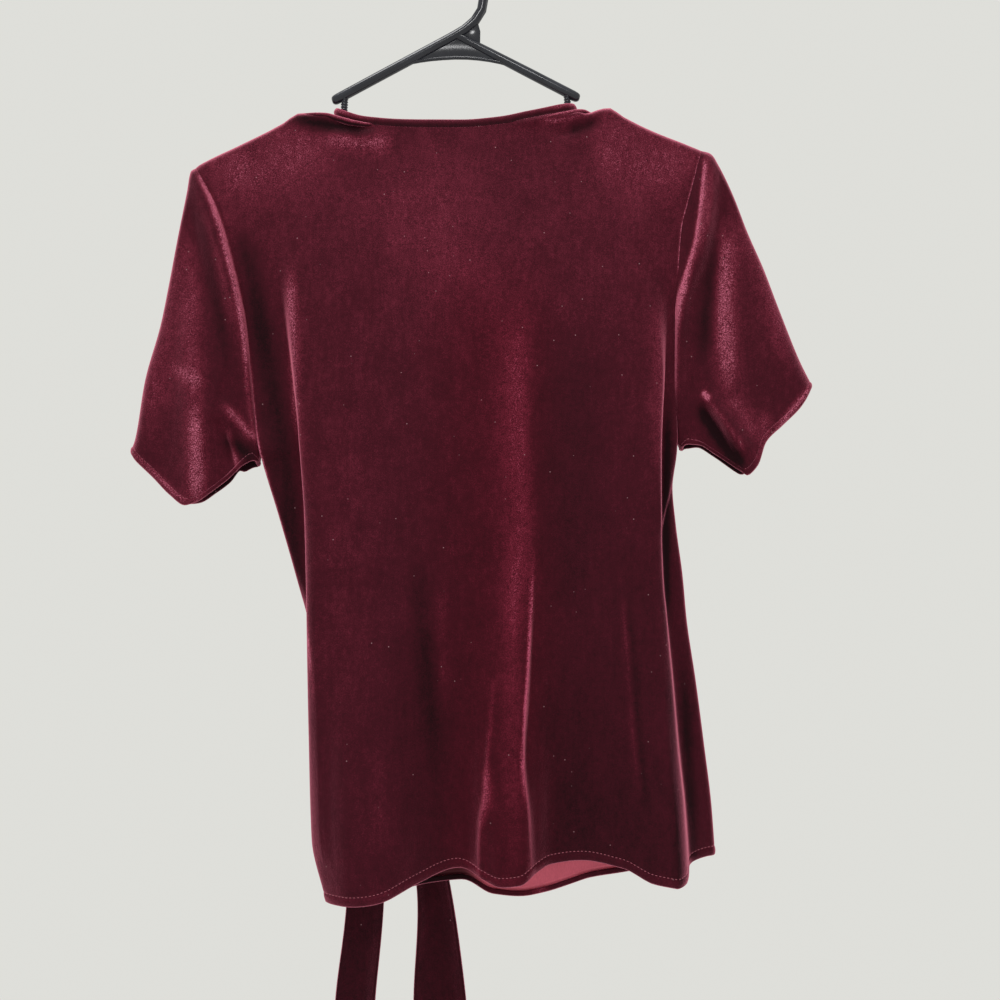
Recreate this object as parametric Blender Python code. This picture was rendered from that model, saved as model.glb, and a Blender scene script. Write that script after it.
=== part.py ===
"""A velvet wrap top with short sleeves, hung by a tubular clothes hanger.

The origin is the highest point inside the hanger's hook, where a rail carries it.
+Z is up and +X is the wearer's right. The back of the garment faces -Y and its
crossed fronts face +Y. Sizes are in millimetres, and MM turns them into metres.
"""
import math

import bmesh
import bpy
from mathutils import Vector

MM = 0.001

# Cloth.
WALL = 1.4              # velvet, with its pile
HEM_WALL = 2.4          # where a hem is turned up and stitched double
BAND_WALL = 2.4         # the neckband is a folded strip
BAND_HEIGHT = 7.6
BAND_LEAN = 0.3         # how far the band leans in where it crosses the shoulders
BAND_ENDS = -496        # height at which both ends of the band stop
BAND_ROWS = 2
SEAM_GAP = 0.3          # between the pieces that a seam joins
BAND_GAP = 0.36         # between the neckband and the panels, whose edges lean towards it
LAYER_GAP = 4.6         # from the middle of one front to the middle of the other
SHOULDER_BEND = 5.4     # radius of the cloth over the hanger's arms
FOLD_BEND = 4.0         # half the depth of the cloth at the side folds
RIDGE_GAP = 0.55        # from the shoulder seam to each panel, whose edges lean together

# Heights of the garment.
NECK_POINT_LEFT = (-98.8, -118.2)       # x, z where the shoulder seam meets the neck
NECK_POINT_RIGHT = (99.6, -115.8)
ARMPIT_LEFT = -395
ARMPIT_RIGHT = -386
WAIST = -522            # where the ties are sewn on
NEAR_TOP = -130         # where the search for a column's top edge starts
NEAR_HEM = -740         # where a column's x is read to find its hem
SEARCH_STEPS = 30

# Hanger.
ARM_RADIUS = 4.0
HOOK_RADIUS = 23.5
ROD_SIDES = 9


class Table:
    """Rows of named columns. Between rows, a column follows a smooth curve."""

    def __init__(self, columns, rows):
        self.columns = columns.split()
        self.rows = rows

    def at(self, name, place):
        """The named column where the first column has the value place."""
        column = self.columns.index(name)
        keys = [row[0] for row in self.rows]
        values = [row[column] for row in self.rows]
        falling = keys[0] > keys[-1]
        if falling:
            keys.reverse()
            values.reverse()
        place = min(max(place, keys[0]), keys[-1])
        i = 0
        while i < len(keys) - 2 and place > keys[i + 1]:
            i += 1
        step = keys[i + 1] - keys[i]
        t = (place - keys[i]) / step
        start = slope(keys, values, i) * step
        end = slope(keys, values, i + 1) * step
        return (values[i] * (2 * t**3 - 3 * t**2 + 1) + start * (t**3 - 2 * t**2 + t)
                + values[i + 1] * (3 * t**2 - 2 * t**3) + end * (t**3 - t**2))


def slope(keys, values, i):
    """The slope of a table's column at row i, level where the column turns back."""
    if i in (0, len(keys) - 1):
        near = 1 if i == 0 else i
        return (values[near] - values[near - 1]) / (keys[near] - keys[near - 1])
    before = (values[i] - values[i - 1]) / (keys[i] - keys[i - 1])
    after = (values[i + 1] - values[i]) / (keys[i + 1] - keys[i])
    if before * after <= 0:
        return 0
    return 2 * before * after / (before + after)


def ease(t):
    """0 to 1 with level ends."""
    t = min(max(t, 0), 1)
    return t * t * (3 - 2 * t)


def quarter_round(t):
    """0 to 1 as a quarter circle rises."""
    return math.sqrt(1 - (1 - min(max(t, 0), 1)) ** 2)


def mix(a, b, t):
    return a + (b - a) * t


# The top edge, along the hanger's arms and across the back neck.
SHOULDERS = Table("x z", (
    (-209.3, -161.2), (-205, -158.3), (-172.5, -142.6), (-139, -126.1), (-124, -117.2),
    (-106, -117.4), (-98.8, -118.2), (99.6, -115.8), (105, -117.4), (111, -116.6), (118, -113.8),
    (125, -113.2), (134.5, -119.5), (160, -131.9), (184, -141.3), (199, -147.4)))
BACK_NECK = Table("x z", (
    (-98.8, -118.2), (-88, -123.4), (-70, -127.8), (-26, -130.3), (7, -130.3), (32, -128.2),
    (56, -124.2), (81, -119.4), (99.6, -115.8)))

# The back's left and right sides, from the shoulder down: the edge that is sewn (the
# armhole, then the side seam), the valley beside it, and the edge of the long side fold.
LEFT_SIDE = Table("z seam_x seam_y valley_x valley_y edge_x edge_y", (
    (-160, -209.3, -5.4, -186, -6.0, -152, -7),
    (-200, -188.5, -6.5, -165, -8.0, -141, -9),
    (-240, -177.0, -6.5, -154, -8.0, -134, -10),
    (-285, -168.0, -5.0, -146, -6.5, -129, -11),
    (-330, -164.2, -3.0, -140, -4.0, -126, -11),
    (-368, -160.8, -2.5, -134, -2.5, -123.5, -11),
    (-384, -158.4, -1.6, -131, -1.5, -122.6, -11),
    (-392, -156.8, -0.6, -129.5, -1.2, -122.1, -11),
    (-395, -156.2, 2.0, -129, -1.0, -122, -11),
    (-440, -143.2, 4.5, -121, 0.0, -119, -10),
    (-490, -129.4, 7.0, -117, 0.5, -118, -10),
    (-540, -117.0, 9.0, -113, 1.0, -117.5, -10),
    (-620, -108.0, 12.0, -109, 1.0, -116, -10),
    (-700, -102.0, 14.0, -105, 1.0, -113.5, -11),
    (-745, -98.0, 15.0, -98, 0.0, -101.5, -19)))
RIGHT_SIDE = Table("z seam_x seam_y valley_x valley_y edge_x edge_y", (
    (-147, 199.0, -5.4, 175, -6.0, 150, -7),
    (-185, 189.0, -6.5, 172, -8.0, 152, -9),
    (-212, 182.4, -6.5, 171, -8.0, 156, -10),
    (-240, 180.2, -6.5, 171.5, -7.5, 160, -10.5),
    (-276, 177.7, -5.0, 172.5, -6.0, 165.5, -11),
    (-332, 177.6, -3.5, 172, -4.0, 166.5, -11),
    (-360, 178.6, -3.0, 171.5, -3.0, 165, -11),
    (-375, 179.2, -1.8, 171, -2.2, 164.4, -11.5),
    (-383, 179.4, -0.6, 171, -2.1, 164.3, -11.5),
    (-386, 179.5, 2.0, 171, -2.0, 164.2, -11.5),
    (-418, 176.0, 4.0, 169, -1.0, 164.2, -12),
    (-448, 178.8, 6.0, 167.5, -0.5, 164.2, -12),
    (-491, 184.8, 8.0, 169, 0.0, 165, -12),
    (-527, 188.3, 9.0, 173, 1.0, 168.4, -12),
    (-577, 196.0, 11.0, 179, 1.5, 173, -13),
    (-631, 203.2, 12.0, 185, 2.0, 177, -14),
    (-677, 209.0, 13.0, 190, 2.0, 182, -15),
    (-720, 212.4, 14.0, 192, 1.0, 184.8, -18)))

# The middle of the back: how far out it hangs, and the waves of its hem.
BACK_DEPTH = Table("z y", (
    (-150, -8), (-200, -10), (-260, -12), (-350, -14), (-450, -15.5), (-550, -16), (-740, -17)))
BACK_HEM = Table("x z y", (
    (-101, -747, -22), (-83, -747, -30), (-63, -745, -31), (-26, -732, -20), (8, -722.5, -12),
    (24, -729, -20), (38, -734, -28), (53, -732, -29), (66, -725, -20), (79, -719.5, -14),
    (107, -717, -11), (135, -721.5, -15), (158, -731.5, -26), (176, -734, -28)))
SIDE_HEM_LEFT = -742
SIDE_HEM_RIGHT = -719
WAVES_FROM = -490       # the hem's waves grow from this height down

# Beside the armholes the panels end flat; below them the side seams fold round. The
# fold starts this far above the armpit and takes this height to form.
SIDE_FOLD_ABOVE = 34
SIDE_FOLD_OVER = 30

# Ridges on the lower back that start above the waves and run down to the hem.
RIDGES = Table("ridge x_top z_top x_hem half_width height", (
    (1, 64, -455, 59, 15, 4.0),
    (2, 30, -560, 21.5, 12, 2.5),
    (3, -30, -600, -27, 14, 2.0)))

# The fronts: how far out the outer one hangs, its sewn edge, and its hem.
FRONT_DEPTH = Table("z y", (
    (-150, 5.4), (-200, 9), (-260, 14), (-350, 19), (-450, 22), (-550, 24), (-760, 25)))
FRONT_ARMHOLE = Table("z y", (
    (-147, 5.4), (-200, 6.5), (-260, 8), (-330, 8), (-368, 7), (-384, 5.8), (-392, 4.8), (-395, 2.3)))
FRONT_HEM = Table("x z y", (
    (-98, -743, 0), (-80, -768, 4), (-50, -766, 1), (-25, -750, -4), (5, -741, -3), (30, -752, 3),
    (60, -752, 4), (95, -741, -3), (130, -738, -4), (165, -732, 2), (195, -722, 1),
    (212, -719, 0)))
FRONT_ROUND = 26        # width over which a front rounds in to its sewn edge
FRONT_BULGE = 0.35      # how much fuller it rounds at the side seams than at the armholes
FRONT_BULGE_WIDTH = 6

# Where a front's features grow: from this height down, over this height.
FRONT_WAVES = (-560, 180)
LAYERS_PART = (-190, 90)
INSET_GROWS = (-420, 60)

# The free edge of each front: its neckline, then the edge below the tie.
OVER_EDGE = Table("z x", (
    (-115.8, 99.6), (-181, 72), (-255, 37), (-318, -1), (-388, -30), (-455, -44), (-500, -46),
    (-545, -46), (-640, -56), (-766, -76)))
UNDER_EDGE = Table("z x", (
    (-118.2, -98.8), (-190, -72), (-262, -38), (-322, 0), (-385, 50), (-445, 112), (-485, 164),
    (-497, 181)))

# Soft folds that fan out from the tie across the outer front.
TIE_FOLDS = Table("fold angle length height", (
    (1, 62, 150, 2.2), (2, 34, 230, 2.8), (3, 8, 200, 2.4), (4, -20, 170, 2.2), (5, -48, 150, 2.0)))
TIE_FOLD_WIDTH = 9      # half the spread of a fold, in degrees

# Sleeves. Each runs from its armhole to its cuff, and lies nearly flat.
LEFT_OUTER = Table("s x z", (
    (0, -209.8, -161.2), (0.02, -214, -164), (0.09, -217, -180), (0.21, -223, -209.6),
    (0.40, -231.2, -254), (0.54, -237.8, -287), (0.74, -250.2, -332), (0.94, -258.4, -381),
    (1, -261.8, -390)))
RIGHT_OUTER = Table("s x z", (
    (0, 199.6, -147.4), (0.03, 206.8, -149.6), (0.08, 213, -158.4), (0.19, 225, -183),
    (0.32, 236.6, -213), (0.46, 249.6, -242.7), (0.58, 259.6, -269), (0.81, 278.8, -317.5),
    (1, 288.4, -337)))
LEFT_CUFF = Table("w x z far_drop near_y far_y", (
    (0, -261.8, -390, 0, -7, 7), (0.06, -257, -396, 0, -7, 7), (0.18, -243, -409, 0, -9, 7),
    (0.32, -227.5, -424.5, 0, -10, 8), (0.43, -215.5, -432.5, -1, -11, 9),
    (0.50, -208, -430.5, 1, -8, 9), (0.62, -196, -422, 5, -5, 9), (0.74, -184, -412.5, 3, -2, 9),
    (0.88, -171, -401.5, 6, -2, 9), (0.955, -163, -397.5, 6, -1, 9), (1, -159.5, -398.5, 4, 1, 8)))
RIGHT_CUFF = Table("w x z far_drop near_y far_y", (
    (0, 288.4, -337, 0, -7, 7), (0.14, 277, -354.5, 0, -8, 7), (0.28, 263, -368.5, 0, -8, 7),
    (0.41, 249.5, -382, 2, -9, 8), (0.50, 242.5, -400.5, -1, -11, 8),
    (0.56, 234.5, -408.5, -1, -11, 9), (0.64, 229, -405, 1, -8, 9), (0.77, 210, -391.5, 2, -3, 9),
    (0.88, 197, -384, 4, -2, 9), (0.955, 188, -383.5, 5, -1, 9), (1, 183, -386.5, 5, 1, 8)))
LEFT_SLEEVE_FOLDS = Table("fold s_top w_top s_end w_end half_width height", (
    (1, 0.30, 0.42, 1.0, 0.45, 0.10, 3.0), (2, 0.55, 0.70, 1.0, 0.86, 0.07, 2.5)))
RIGHT_SLEEVE_FOLDS = Table("fold s_top w_top s_end w_end half_width height", (
    (1, 0.30, 0.30, 0.75, 0.36, 0.10, 2.5), (2, 0.55, 0.66, 1.0, 0.55, 0.08, 3.5)))

# Ties: the middle line, the width and how far the edges curl back.
TIE_OVER_ROUTE = (
    # x, y, z, width, curl
    (-47.2, 24.2, -522, 40, 0), (-52, 26, -522, 28, 1), (-60, 27, -524, 15, 2),
    (-67, 27.4, -532, 12, 2), (-68, 27.8, -545, 13, 2), (-62, 28.5, -575, 22, 2),
    (-44, 32, -650, 27, 3), (-20, 38, -750, 27, 6), (-14, 39, -852, 44, 5),
    (-11, 37, -930, 45, 4), (-10, 35, -1004, 45, 3))
TIE_UNDER_ROUTE = (
    (-111.5, 12, -521, 38, 0), (-104, 20, -521.5, 34, 0), (-90, 27, -522, 25, 0),
    (-78, 31.6, -524, 14, 0), (-69.5, 32.6, -532, 12, 0), (-68, 33, -545, 13, 0),
    (-70, 34.5, -580, 24, 0), (-74, 37, -660, 31, 1), (-77, 38, -770, 31, 4),
    (-85, 37, -850, 33, 5), (-87, 36, -920, 34, 4), (-88, 35, -990, 35, 3))
TIE_WALL = 1.8
TIE_COLUMNS = 4
TIE_CLEAR = 2.4         # from the middle of a front to the middle of a tie that lies on it
KNOT_CENTRE = (-68, 43.6, -535)
KNOT_SIZE = (38, 19, 33)
KNOT_LEAN = 24          # degrees that the knot's crease leans
KNOT_CREASE = 0.35
KNOT_CREASE_AT = -0.15

# The armholes share these steps with the rows of the panels, so that the sewn edges
# meet point for point. The first steps bend over the hanger's arm.
ARMHOLE_STEPS = (0, 0.007, 0.023, 0.07, 0.15, 0.25, 0.37, 0.50, 0.63, 0.76, 0.88, 0.955,
                 0.988, 1)
LOWER_STEPS = (0.09, 0.18, 0.27, 0.34, 0.41, 0.48, 0.57, 0.67, 0.77, 0.87, 0.977, 1)
ROWS = len(ARMHOLE_STEPS) - 1 + len(LOWER_STEPS)


def top_z(x):
    """Height of the back's top edge: the shoulder seams, and the neck between them."""
    if NECK_POINT_LEFT[0] < x < NECK_POINT_RIGHT[0]:
        return BACK_NECK.at("z", x)
    return SHOULDERS.at("z", x)


def row_height(row, top, armpit, hem):
    """Height of a panel's row, from its top edge down to its hem."""
    above = len(ARMHOLE_STEPS) - 1
    if row <= above:
        return mix(top, armpit, ARMHOLE_STEPS[row])
    return mix(armpit, hem, LOWER_STEPS[row - above - 1])


def armpit_z(x):
    """Height of the line from one armpit to the other."""
    left = LEFT_SIDE.at("seam_x", ARMPIT_LEFT)
    right = RIGHT_SIDE.at("seam_x", ARMPIT_RIGHT)
    share = (x - left) / (right - left)
    return mix(ARMPIT_LEFT, ARMPIT_RIGHT, min(max(share, 0), 1))


def spline(points, t):
    """A Catmull-Rom curve through all but the first and last points, t from 0 to 1."""
    spans = len(points) - 3
    i = min(int(t * spans), spans - 1)
    t = t * spans - i
    p = points[i:i + 4]
    return tuple(0.5 * (2 * b + (c - a) * t + (2 * a - 5 * b + 4 * c - d) * t**2
                        + (3 * b - a - 3 * c + d) * t**3)
                 for a, b, c, d in zip(*p))


# ---------------------------------------------------------------- back panel

SIDE_COLUMNS = 10       # columns from a sewn edge to the crest of its side fold
SHOULDER_COLUMNS = 3
NECK_STEPS = (0, 0.008, 0.029, 0.066, 0.12, 0.19, 0.27, 0.35, 0.43, 0.5)
NECK_ROUND = 14         # the neck's ends curve from the back round to the fronts
CREST_IN = 9            # from the edge of a side fold to its crest
CLEAR_OF_CREST = 14     # the level run that the spline ends with


def side_section(side, table, z):
    """Control points of one side of the back at height z, from the sewn edge in."""
    seam = (table.at("seam_x", z), table.at("seam_y", z))
    valley = (table.at("valley_x", z), table.at("valley_y", z))
    edge = (table.at("edge_x", z), table.at("edge_y", z))
    crest = (edge[0] - side * CREST_IN, back_middle_y(edge[0] - side * CREST_IN, z))
    folded = side_fold(side, z)
    turn = (mix(seam[0], valley[0], 0.25),
            mix(mix(seam[1], valley[1], 0.25), seam[1] - FOLD_BEND, folded))
    before = (mix(2 * seam[0] - turn[0], turn[0], folded), 2 * seam[1] - turn[1])
    after = (crest[0] - side * CLEAR_OF_CREST,
             back_middle_y(crest[0] - side * CLEAR_OF_CREST, z))
    return (before, seam, turn, valley, edge, crest, after)


def side_fold(side, z):
    """0 where the sleeve is sewn on, 1 where the back folds round to the front."""
    armpit = ARMPIT_LEFT if side < 0 else ARMPIT_RIGHT
    return ease((armpit + SIDE_FOLD_ABOVE - z) / SIDE_FOLD_OVER)


def back_middle_y(x, z):
    """How far out the middle of the back hangs, with its waves and ridges."""
    waves = ease((WAVES_FROM - z) / (WAVES_FROM - BACK_HEM.at("z", x)))
    y = mix(BACK_DEPTH.at("y", z), BACK_HEM.at("y", x), waves)
    for _, x_top, z_top, x_hem, half_width, height in RIDGES.rows:
        down = (z_top - z) / (z_top - BACK_HEM.at("z", x_hem))
        away = abs(x - mix(x_top, x_hem, down)) / half_width
        y -= height * ease(down * 3) * ease(1 - away)
    return y


def back_columns():
    """Columns of the back from left to right: the part, and the place in that part."""
    left = mid_share(NECK_POINT_LEFT)
    right = mid_share(NECK_POINT_RIGHT)
    neck = NECK_STEPS + tuple(1 - step for step in reversed(NECK_STEPS[1:-1]))
    columns = [("left", i / SIDE_COLUMNS) for i in range(SIDE_COLUMNS)]
    columns += [("middle", left * i / SHOULDER_COLUMNS) for i in range(SHOULDER_COLUMNS)]
    columns += [("middle", mix(left, right, step)) for step in neck]
    columns += [("middle", mix(right, 1, i / SHOULDER_COLUMNS)) for i in range(SHOULDER_COLUMNS)]
    columns += [("right", 1 - i / SIDE_COLUMNS) for i in range(SIDE_COLUMNS + 1)]
    return columns


def crests(z):
    """x of the two crests that the middle of the back lies between."""
    return (LEFT_SIDE.at("edge_x", z) + CREST_IN, RIGHT_SIDE.at("edge_x", z) - CREST_IN)


def mid_share(point):
    """Place of a neck point between the two crests, from 0 to 1."""
    left, right = crests(point[1])
    return (point[0] - left) / (right - left)


def back_section(column, z):
    """x and y of one column of the back at height z."""
    part, place = column
    if part == "left":
        return spline(side_section(-1, LEFT_SIDE, z), place)
    if part == "right":
        return spline(side_section(1, RIGHT_SIDE, z), place)
    left, right = crests(z)
    x = mix(left, right, place)
    return x, back_middle_y(x, z)


def back_hem_z(column, x):
    part, place = column
    if part == "middle":
        return BACK_HEM.at("z", x)
    side_hem = SIDE_HEM_LEFT if part == "left" else SIDE_HEM_RIGHT
    crest = BACK_HEM.at("z", x)
    return mix(side_hem, crest, ease(place))


def back_column_top(column):
    """x and z where a column meets the top edge, found by stepping towards it."""
    z = NEAR_TOP
    for _ in range(SEARCH_STEPS):
        x = back_section(column, z)[0]
        z = mix(z, top_z(x), 0.7)
    return x, z


def back_point(column, row):
    """A point of the back's middle surface."""
    top_x, top = back_column_top(column)
    bottom = back_section(column, NEAR_HEM)[0]
    z = row_height(row, top, armpit_z(top_x), back_hem_z(column, bottom))
    x, y = back_section(column, z)
    past_neck_point = min(top_x - NECK_POINT_LEFT[0], NECK_POINT_RIGHT[0] - top_x)
    y *= max(quarter_round((top - z) / SHOULDER_BEND), quarter_round(past_neck_point / NECK_ROUND))
    part, place = column
    if part != "middle" and place < 1.5 / SIDE_COLUMNS:
        side = -1 if part == "left" else 1
        sewn = LEFT_SIDE if side < 0 else RIGHT_SIDE
        x = mix(x, sewn.at("seam_x", z), side_fold(side, z))
        y -= SEAM_GAP / 2 * side_fold(side, z)
    if row == 0:
        y = min(y, -RIDGE_GAP)
    return Vector((x, y, z))


# -------------------------------------------------------------------- fronts

FRONT_SIDE_COLUMNS = (0, 0.7, 2.6, 6, 12, 20, 30)    # distances in from a sewn edge
OVER_COLUMNS = 13
UNDER_COLUMNS = 17
UNDER_INSET = 2.8       # at the right side seam, front_under ends inside front_over


def sewn_edge(side, z):
    """x and y of a front's sewn edge: its armhole, then its side seam."""
    table = LEFT_SIDE if side < 0 else RIGHT_SIDE
    armpit = ARMPIT_LEFT if side < 0 else ARMPIT_RIGHT
    if z >= armpit:
        return table.at("seam_x", z), FRONT_ARMHOLE.at("y", z * ARMPIT_LEFT / armpit)
    return table.at("seam_x", z), table.at("seam_y", z) + SEAM_GAP / 2


def fan_height(x, z):
    """Height of the soft folds that fan out from the tie."""
    east = x - OVER_EDGE.at("x", WAIST)
    away = math.hypot(east, z - WAIST)
    turn = math.degrees(math.atan2(z - WAIST, east + 6))
    height = 0
    for _, angle, length, rise in TIE_FOLDS.rows:
        across = ease(1 - abs(turn - angle) / TIE_FOLD_WIDTH)
        height += rise * across * ease(away / 40) * ease((length - away) / length)
    return height


def grown(feature, z):
    """How far a feature has grown at height z, from 0 to 1."""
    start, over = feature
    return ease((start - z) / over)


def front_y(x, z, inset=0.0, depth_less=0.0, fan=1.0):
    """How far out a front hangs, rounding in to its sewn edges."""
    depth = FRONT_DEPTH.at("y", z) + fan * fan_height(x, z)
    depth += FRONT_HEM.at("y", x) * grown(FRONT_WAVES, z)
    depth -= depth_less * grown(LAYERS_PART, z)
    y = depth
    for side in (-1, 1):
        edge_x, edge_y = sewn_edge(side, z)
        if side > 0:
            edge_x -= inset * grown(INSET_GROWS, z)
        inward = (edge_x - x) * side
        soft = 1 - (1 - min(max(inward / FRONT_ROUND, 0), 1)) ** 2
        bulge = FRONT_BULGE * side_fold(side, z)
        full = quarter_round(inward / FRONT_BULGE_WIDTH)
        y = min(y, mix(edge_y, depth, mix(soft, full, bulge)))
    return y


def side_columns(sewn, free, side):
    """x of the columns near a sewn edge, closer together where a front is narrow."""
    room = abs(sewn - free) / (FRONT_SIDE_COLUMNS[-1] * 2.2)
    return [sewn - side * inward * min(room, 1) for inward in FRONT_SIDE_COLUMNS]


def over_x(column, z):
    free = OVER_EDGE.at("x", z)
    side = side_columns(sewn_edge(1, z)[0], free, 1)
    if column >= OVER_COLUMNS:
        return side[len(side) - 1 - (column - OVER_COLUMNS)]
    return mix(free, side[-1], column / OVER_COLUMNS)


def under_x(column, z):
    free = sewn_edge(1, z)[0] - UNDER_INSET
    if z > UNDER_EDGE.rows[-1][0]:
        free = min(UNDER_EDGE.at("x", z), free)
    side = side_columns(sewn_edge(-1, z)[0], free, -1)
    if column < len(side):
        return side[column]
    return mix(side[-1], free, (column - len(side) + 1) / UNDER_COLUMNS)


def front_place(column_x, row, armpit):
    """x and z of a front's point, and the height of its column's top. column_x gives
    the column's x at a height."""
    top = NEAR_TOP
    for _ in range(SEARCH_STEPS):
        top = mix(top, SHOULDERS.at("z", column_x(top)), 0.7)
    hem = FRONT_HEM.at("z", column_x(NEAR_HEM))
    z = row_height(row, top, armpit, hem)
    return column_x(z), z, top


def over_point(column, row):
    """A point of front_over: column 0 is its free edge, the last one is sewn."""
    x, z, top = front_place(lambda height: over_x(column, height), row, ARMPIT_RIGHT)
    y = front_y(x, z) * quarter_round((top - z) / SHOULDER_BEND)
    if column == OVER_COLUMNS + len(FRONT_SIDE_COLUMNS) - 2:
        x = mix(x, sewn_edge(1, z)[0], side_fold(1, z))
    return Vector((x, max(y, RIDGE_GAP), z))


def under_point(column, row):
    """A point of front_under: column 0 is sewn, the last one is its free edge."""
    x, z, top = front_place(lambda height: under_x(column, height), row, ARMPIT_LEFT)
    y = front_y(x, z, inset=UNDER_INSET, depth_less=LAYER_GAP, fan=0.6)
    y *= quarter_round((top - z) / SHOULDER_BEND)
    if column == 1:
        x = mix(x, sewn_edge(-1, z)[0], side_fold(-1, z))
    return Vector((x, max(y, RIDGE_GAP), z))


# ------------------------------------------------------------------- sleeves

SLEEVE_STEPS = (0, 0.025, 0.09, 0.18, 0.30, 0.43, 0.56, 0.69, 0.81, 0.91, 0.967, 1)
SLEEVE_LAST = len(ARMHOLE_STEPS) - 2    # the underarm seam lies past this step
FAR_FOLD_SHARE = 0.4    # how much of the near layer's folds the far one shares
CUFF_ROUND = 0.09       # share of a cuff over which its outer fold rounds


def sleeve_point(side, step, w, far):
    """A point of a sleeve. w runs from the outer fold to the underarm; far is the
    front layer."""
    s = mix(SLEEVE_STEPS[step], step / (len(SLEEVE_STEPS) - 1), w**4)
    outer = LEFT_OUTER if side < 0 else RIGHT_OUTER
    cuff = LEFT_CUFF if side < 0 else RIGHT_CUFF
    table = LEFT_SIDE if side < 0 else RIGHT_SIDE
    top = (SHOULDERS.rows[0] if side < 0 else SHOULDERS.rows[-1])[1]
    armpit = ARMPIT_LEFT if side < 0 else ARMPIT_RIGHT
    hole_z = mix(top, armpit, w)
    hole = Vector((table.at("seam_x", hole_z) + side * sleeve_clear(side, hole_z), hole_z))
    drop = cuff.at("far_drop", w) if far else 0
    end = Vector((cuff.at("x", w), cuff.at("z", w) - drop))
    outside = Vector((outer.at("x", s), outer.at("z", s)))
    under_top = Vector((table.at("seam_x", armpit) + side * sleeve_clear(side, armpit), armpit))
    under_end = Vector(cuff.rows[-1][1:3])
    outer_top, outer_end = Vector(outer.rows[0][1:3]), Vector(outer.rows[-1][1:3])
    corners = outer_top.lerp(under_top, w).lerp(outer_end.lerp(under_end, w), s)
    spot = hole.lerp(end, s) + outside.lerp(under_top.lerp(under_end, s), w) - corners
    if far:
        hole_y = FRONT_ARMHOLE.at("y", hole_z * ARMPIT_LEFT / armpit)
    else:
        hole_y = table.at("seam_y", hole_z)
    hole_y *= quarter_round((top - hole_z) / SHOULDER_BEND)
    cuff_y = cuff.at("far_y" if far else "near_y", w) * quarter_round(w / CUFF_ROUND)
    y = mix(hole_y, cuff_y, ease(s * 1.3))
    folds = LEFT_SLEEVE_FOLDS if side < 0 else RIGHT_SLEEVE_FOLDS
    for _, s_top, w_top, s_end, w_end, half_width, height in folds.rows:
        along = (s - s_top) / (s_end - s_top)
        away = abs(w - mix(w_top, w_end, along)) / half_width
        share = FAR_FOLD_SHARE if far else 1
        y -= share * height * ease(along * 2) * ease(1 - away)
    return Vector((spot[0], y, spot[1]))


def sleeve_clear(side, z):
    """From the armhole's edge to the sleeve's: more where the panels turn across it."""
    return SEAM_GAP + WALL / 2 * mix(0.85, 2.2, side_fold(side, z))


def sleeve_column(side, column, step):
    """Columns go down the back layer to the underarm and up the front layer."""
    far = column > SLEEVE_LAST
    w = ARMHOLE_STEPS[2 * SLEEVE_LAST + 1 - column if far else column]
    return sleeve_point(side, step, w, far)


# ------------------------------------------------------------------ neckband


def neckband_stations():
    """Points of the neck edge, each with the point next to it in its panel and the
    way the band stands up from it."""
    rows = range(1, ROWS)
    over = [(over_point(0, row), over_point(1, row), over_point(0, row + 1)) for row in rows]
    last = UNDER_COLUMNS + len(FRONT_SIDE_COLUMNS) - 1
    under = [(under_point(last, row), under_point(last - 1, row), under_point(last, row + 1))
             for row in rows]
    left, right = mid_share(NECK_POINT_LEFT), mid_share(NECK_POINT_RIGHT)
    neck = [column for column in back_columns()
            if column[0] == "middle" and left - 0.001 < column[1] < right + 0.001]
    stations = [(here, inner, front_stand(1, here, below))
                for here, inner, below in reversed(over) if here.z > BAND_ENDS]
    stations += [(back_point(column, 0), back_point(column, 1), back_stand(back_point(column, 0)))
                 for column in reversed(neck)]
    stations += [(here, inner, front_stand(-1, here, below))
                 for here, inner, below in under if here.z > BAND_ENDS]
    return stations


def back_stand(here):
    """The band stands straight up at the back and leans in at the neck points."""
    side = 1 if here.x > 0 else -1
    reach = NECK_POINT_RIGHT[0] if side > 0 else -NECK_POINT_LEFT[0]
    lean = ease((abs(here.x) - reach + 30) / 30)
    return Vector((-BAND_LEAN * side * lean, 0.1 * (1 - lean), 1)).normalized()


def front_stand(side, here, below):
    """On a front, the band goes on past the panel's edge, square to it."""
    along = (here - below).normalized()
    square = Vector((-side * along.z, 0, side * along.x))
    upright = Vector((-BAND_LEAN * side, 0, 1)).normalized()
    neck = NECK_POINT_RIGHT if side > 0 else NECK_POINT_LEFT
    return upright.lerp(square, ease((neck[1] - here.z) / 40)).normalized()


def band_point(station, row):
    """A point of the band. Where it bends away from its panel, it starts higher, so
    that its thickness clears the panel's edge."""
    here, inner, stand = station
    bend = (here - inner).normalized().cross(stand).length
    start = BAND_GAP + bend * BAND_WALL / 2
    return here + stand * mix(start, BAND_HEIGHT + BAND_GAP, row / BAND_ROWS)


# ---------------------------------------------------------------- mesh tools


def clear_scene():
    for scene_object in list(bpy.data.objects):
        bpy.data.objects.remove(scene_object)


def material(name, colour, roughness, sheen=0.0):
    surface = bpy.data.materials.new(name)
    surface.use_nodes = True
    shader = surface.node_tree.nodes["Principled BSDF"]
    shader.inputs["Base Color"].default_value = (*colour, 1)
    shader.inputs["Roughness"].default_value = roughness
    shader.inputs["Sheen Weight"].default_value = sheen
    return surface


def add_object(name, bm, surface):
    mesh = bpy.data.meshes.new(name)
    bm.to_mesh(mesh)
    bm.free()
    mesh.materials.append(surface)
    new = bpy.data.objects.new(name, mesh)
    bpy.context.collection.objects.link(new)
    return new


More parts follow.
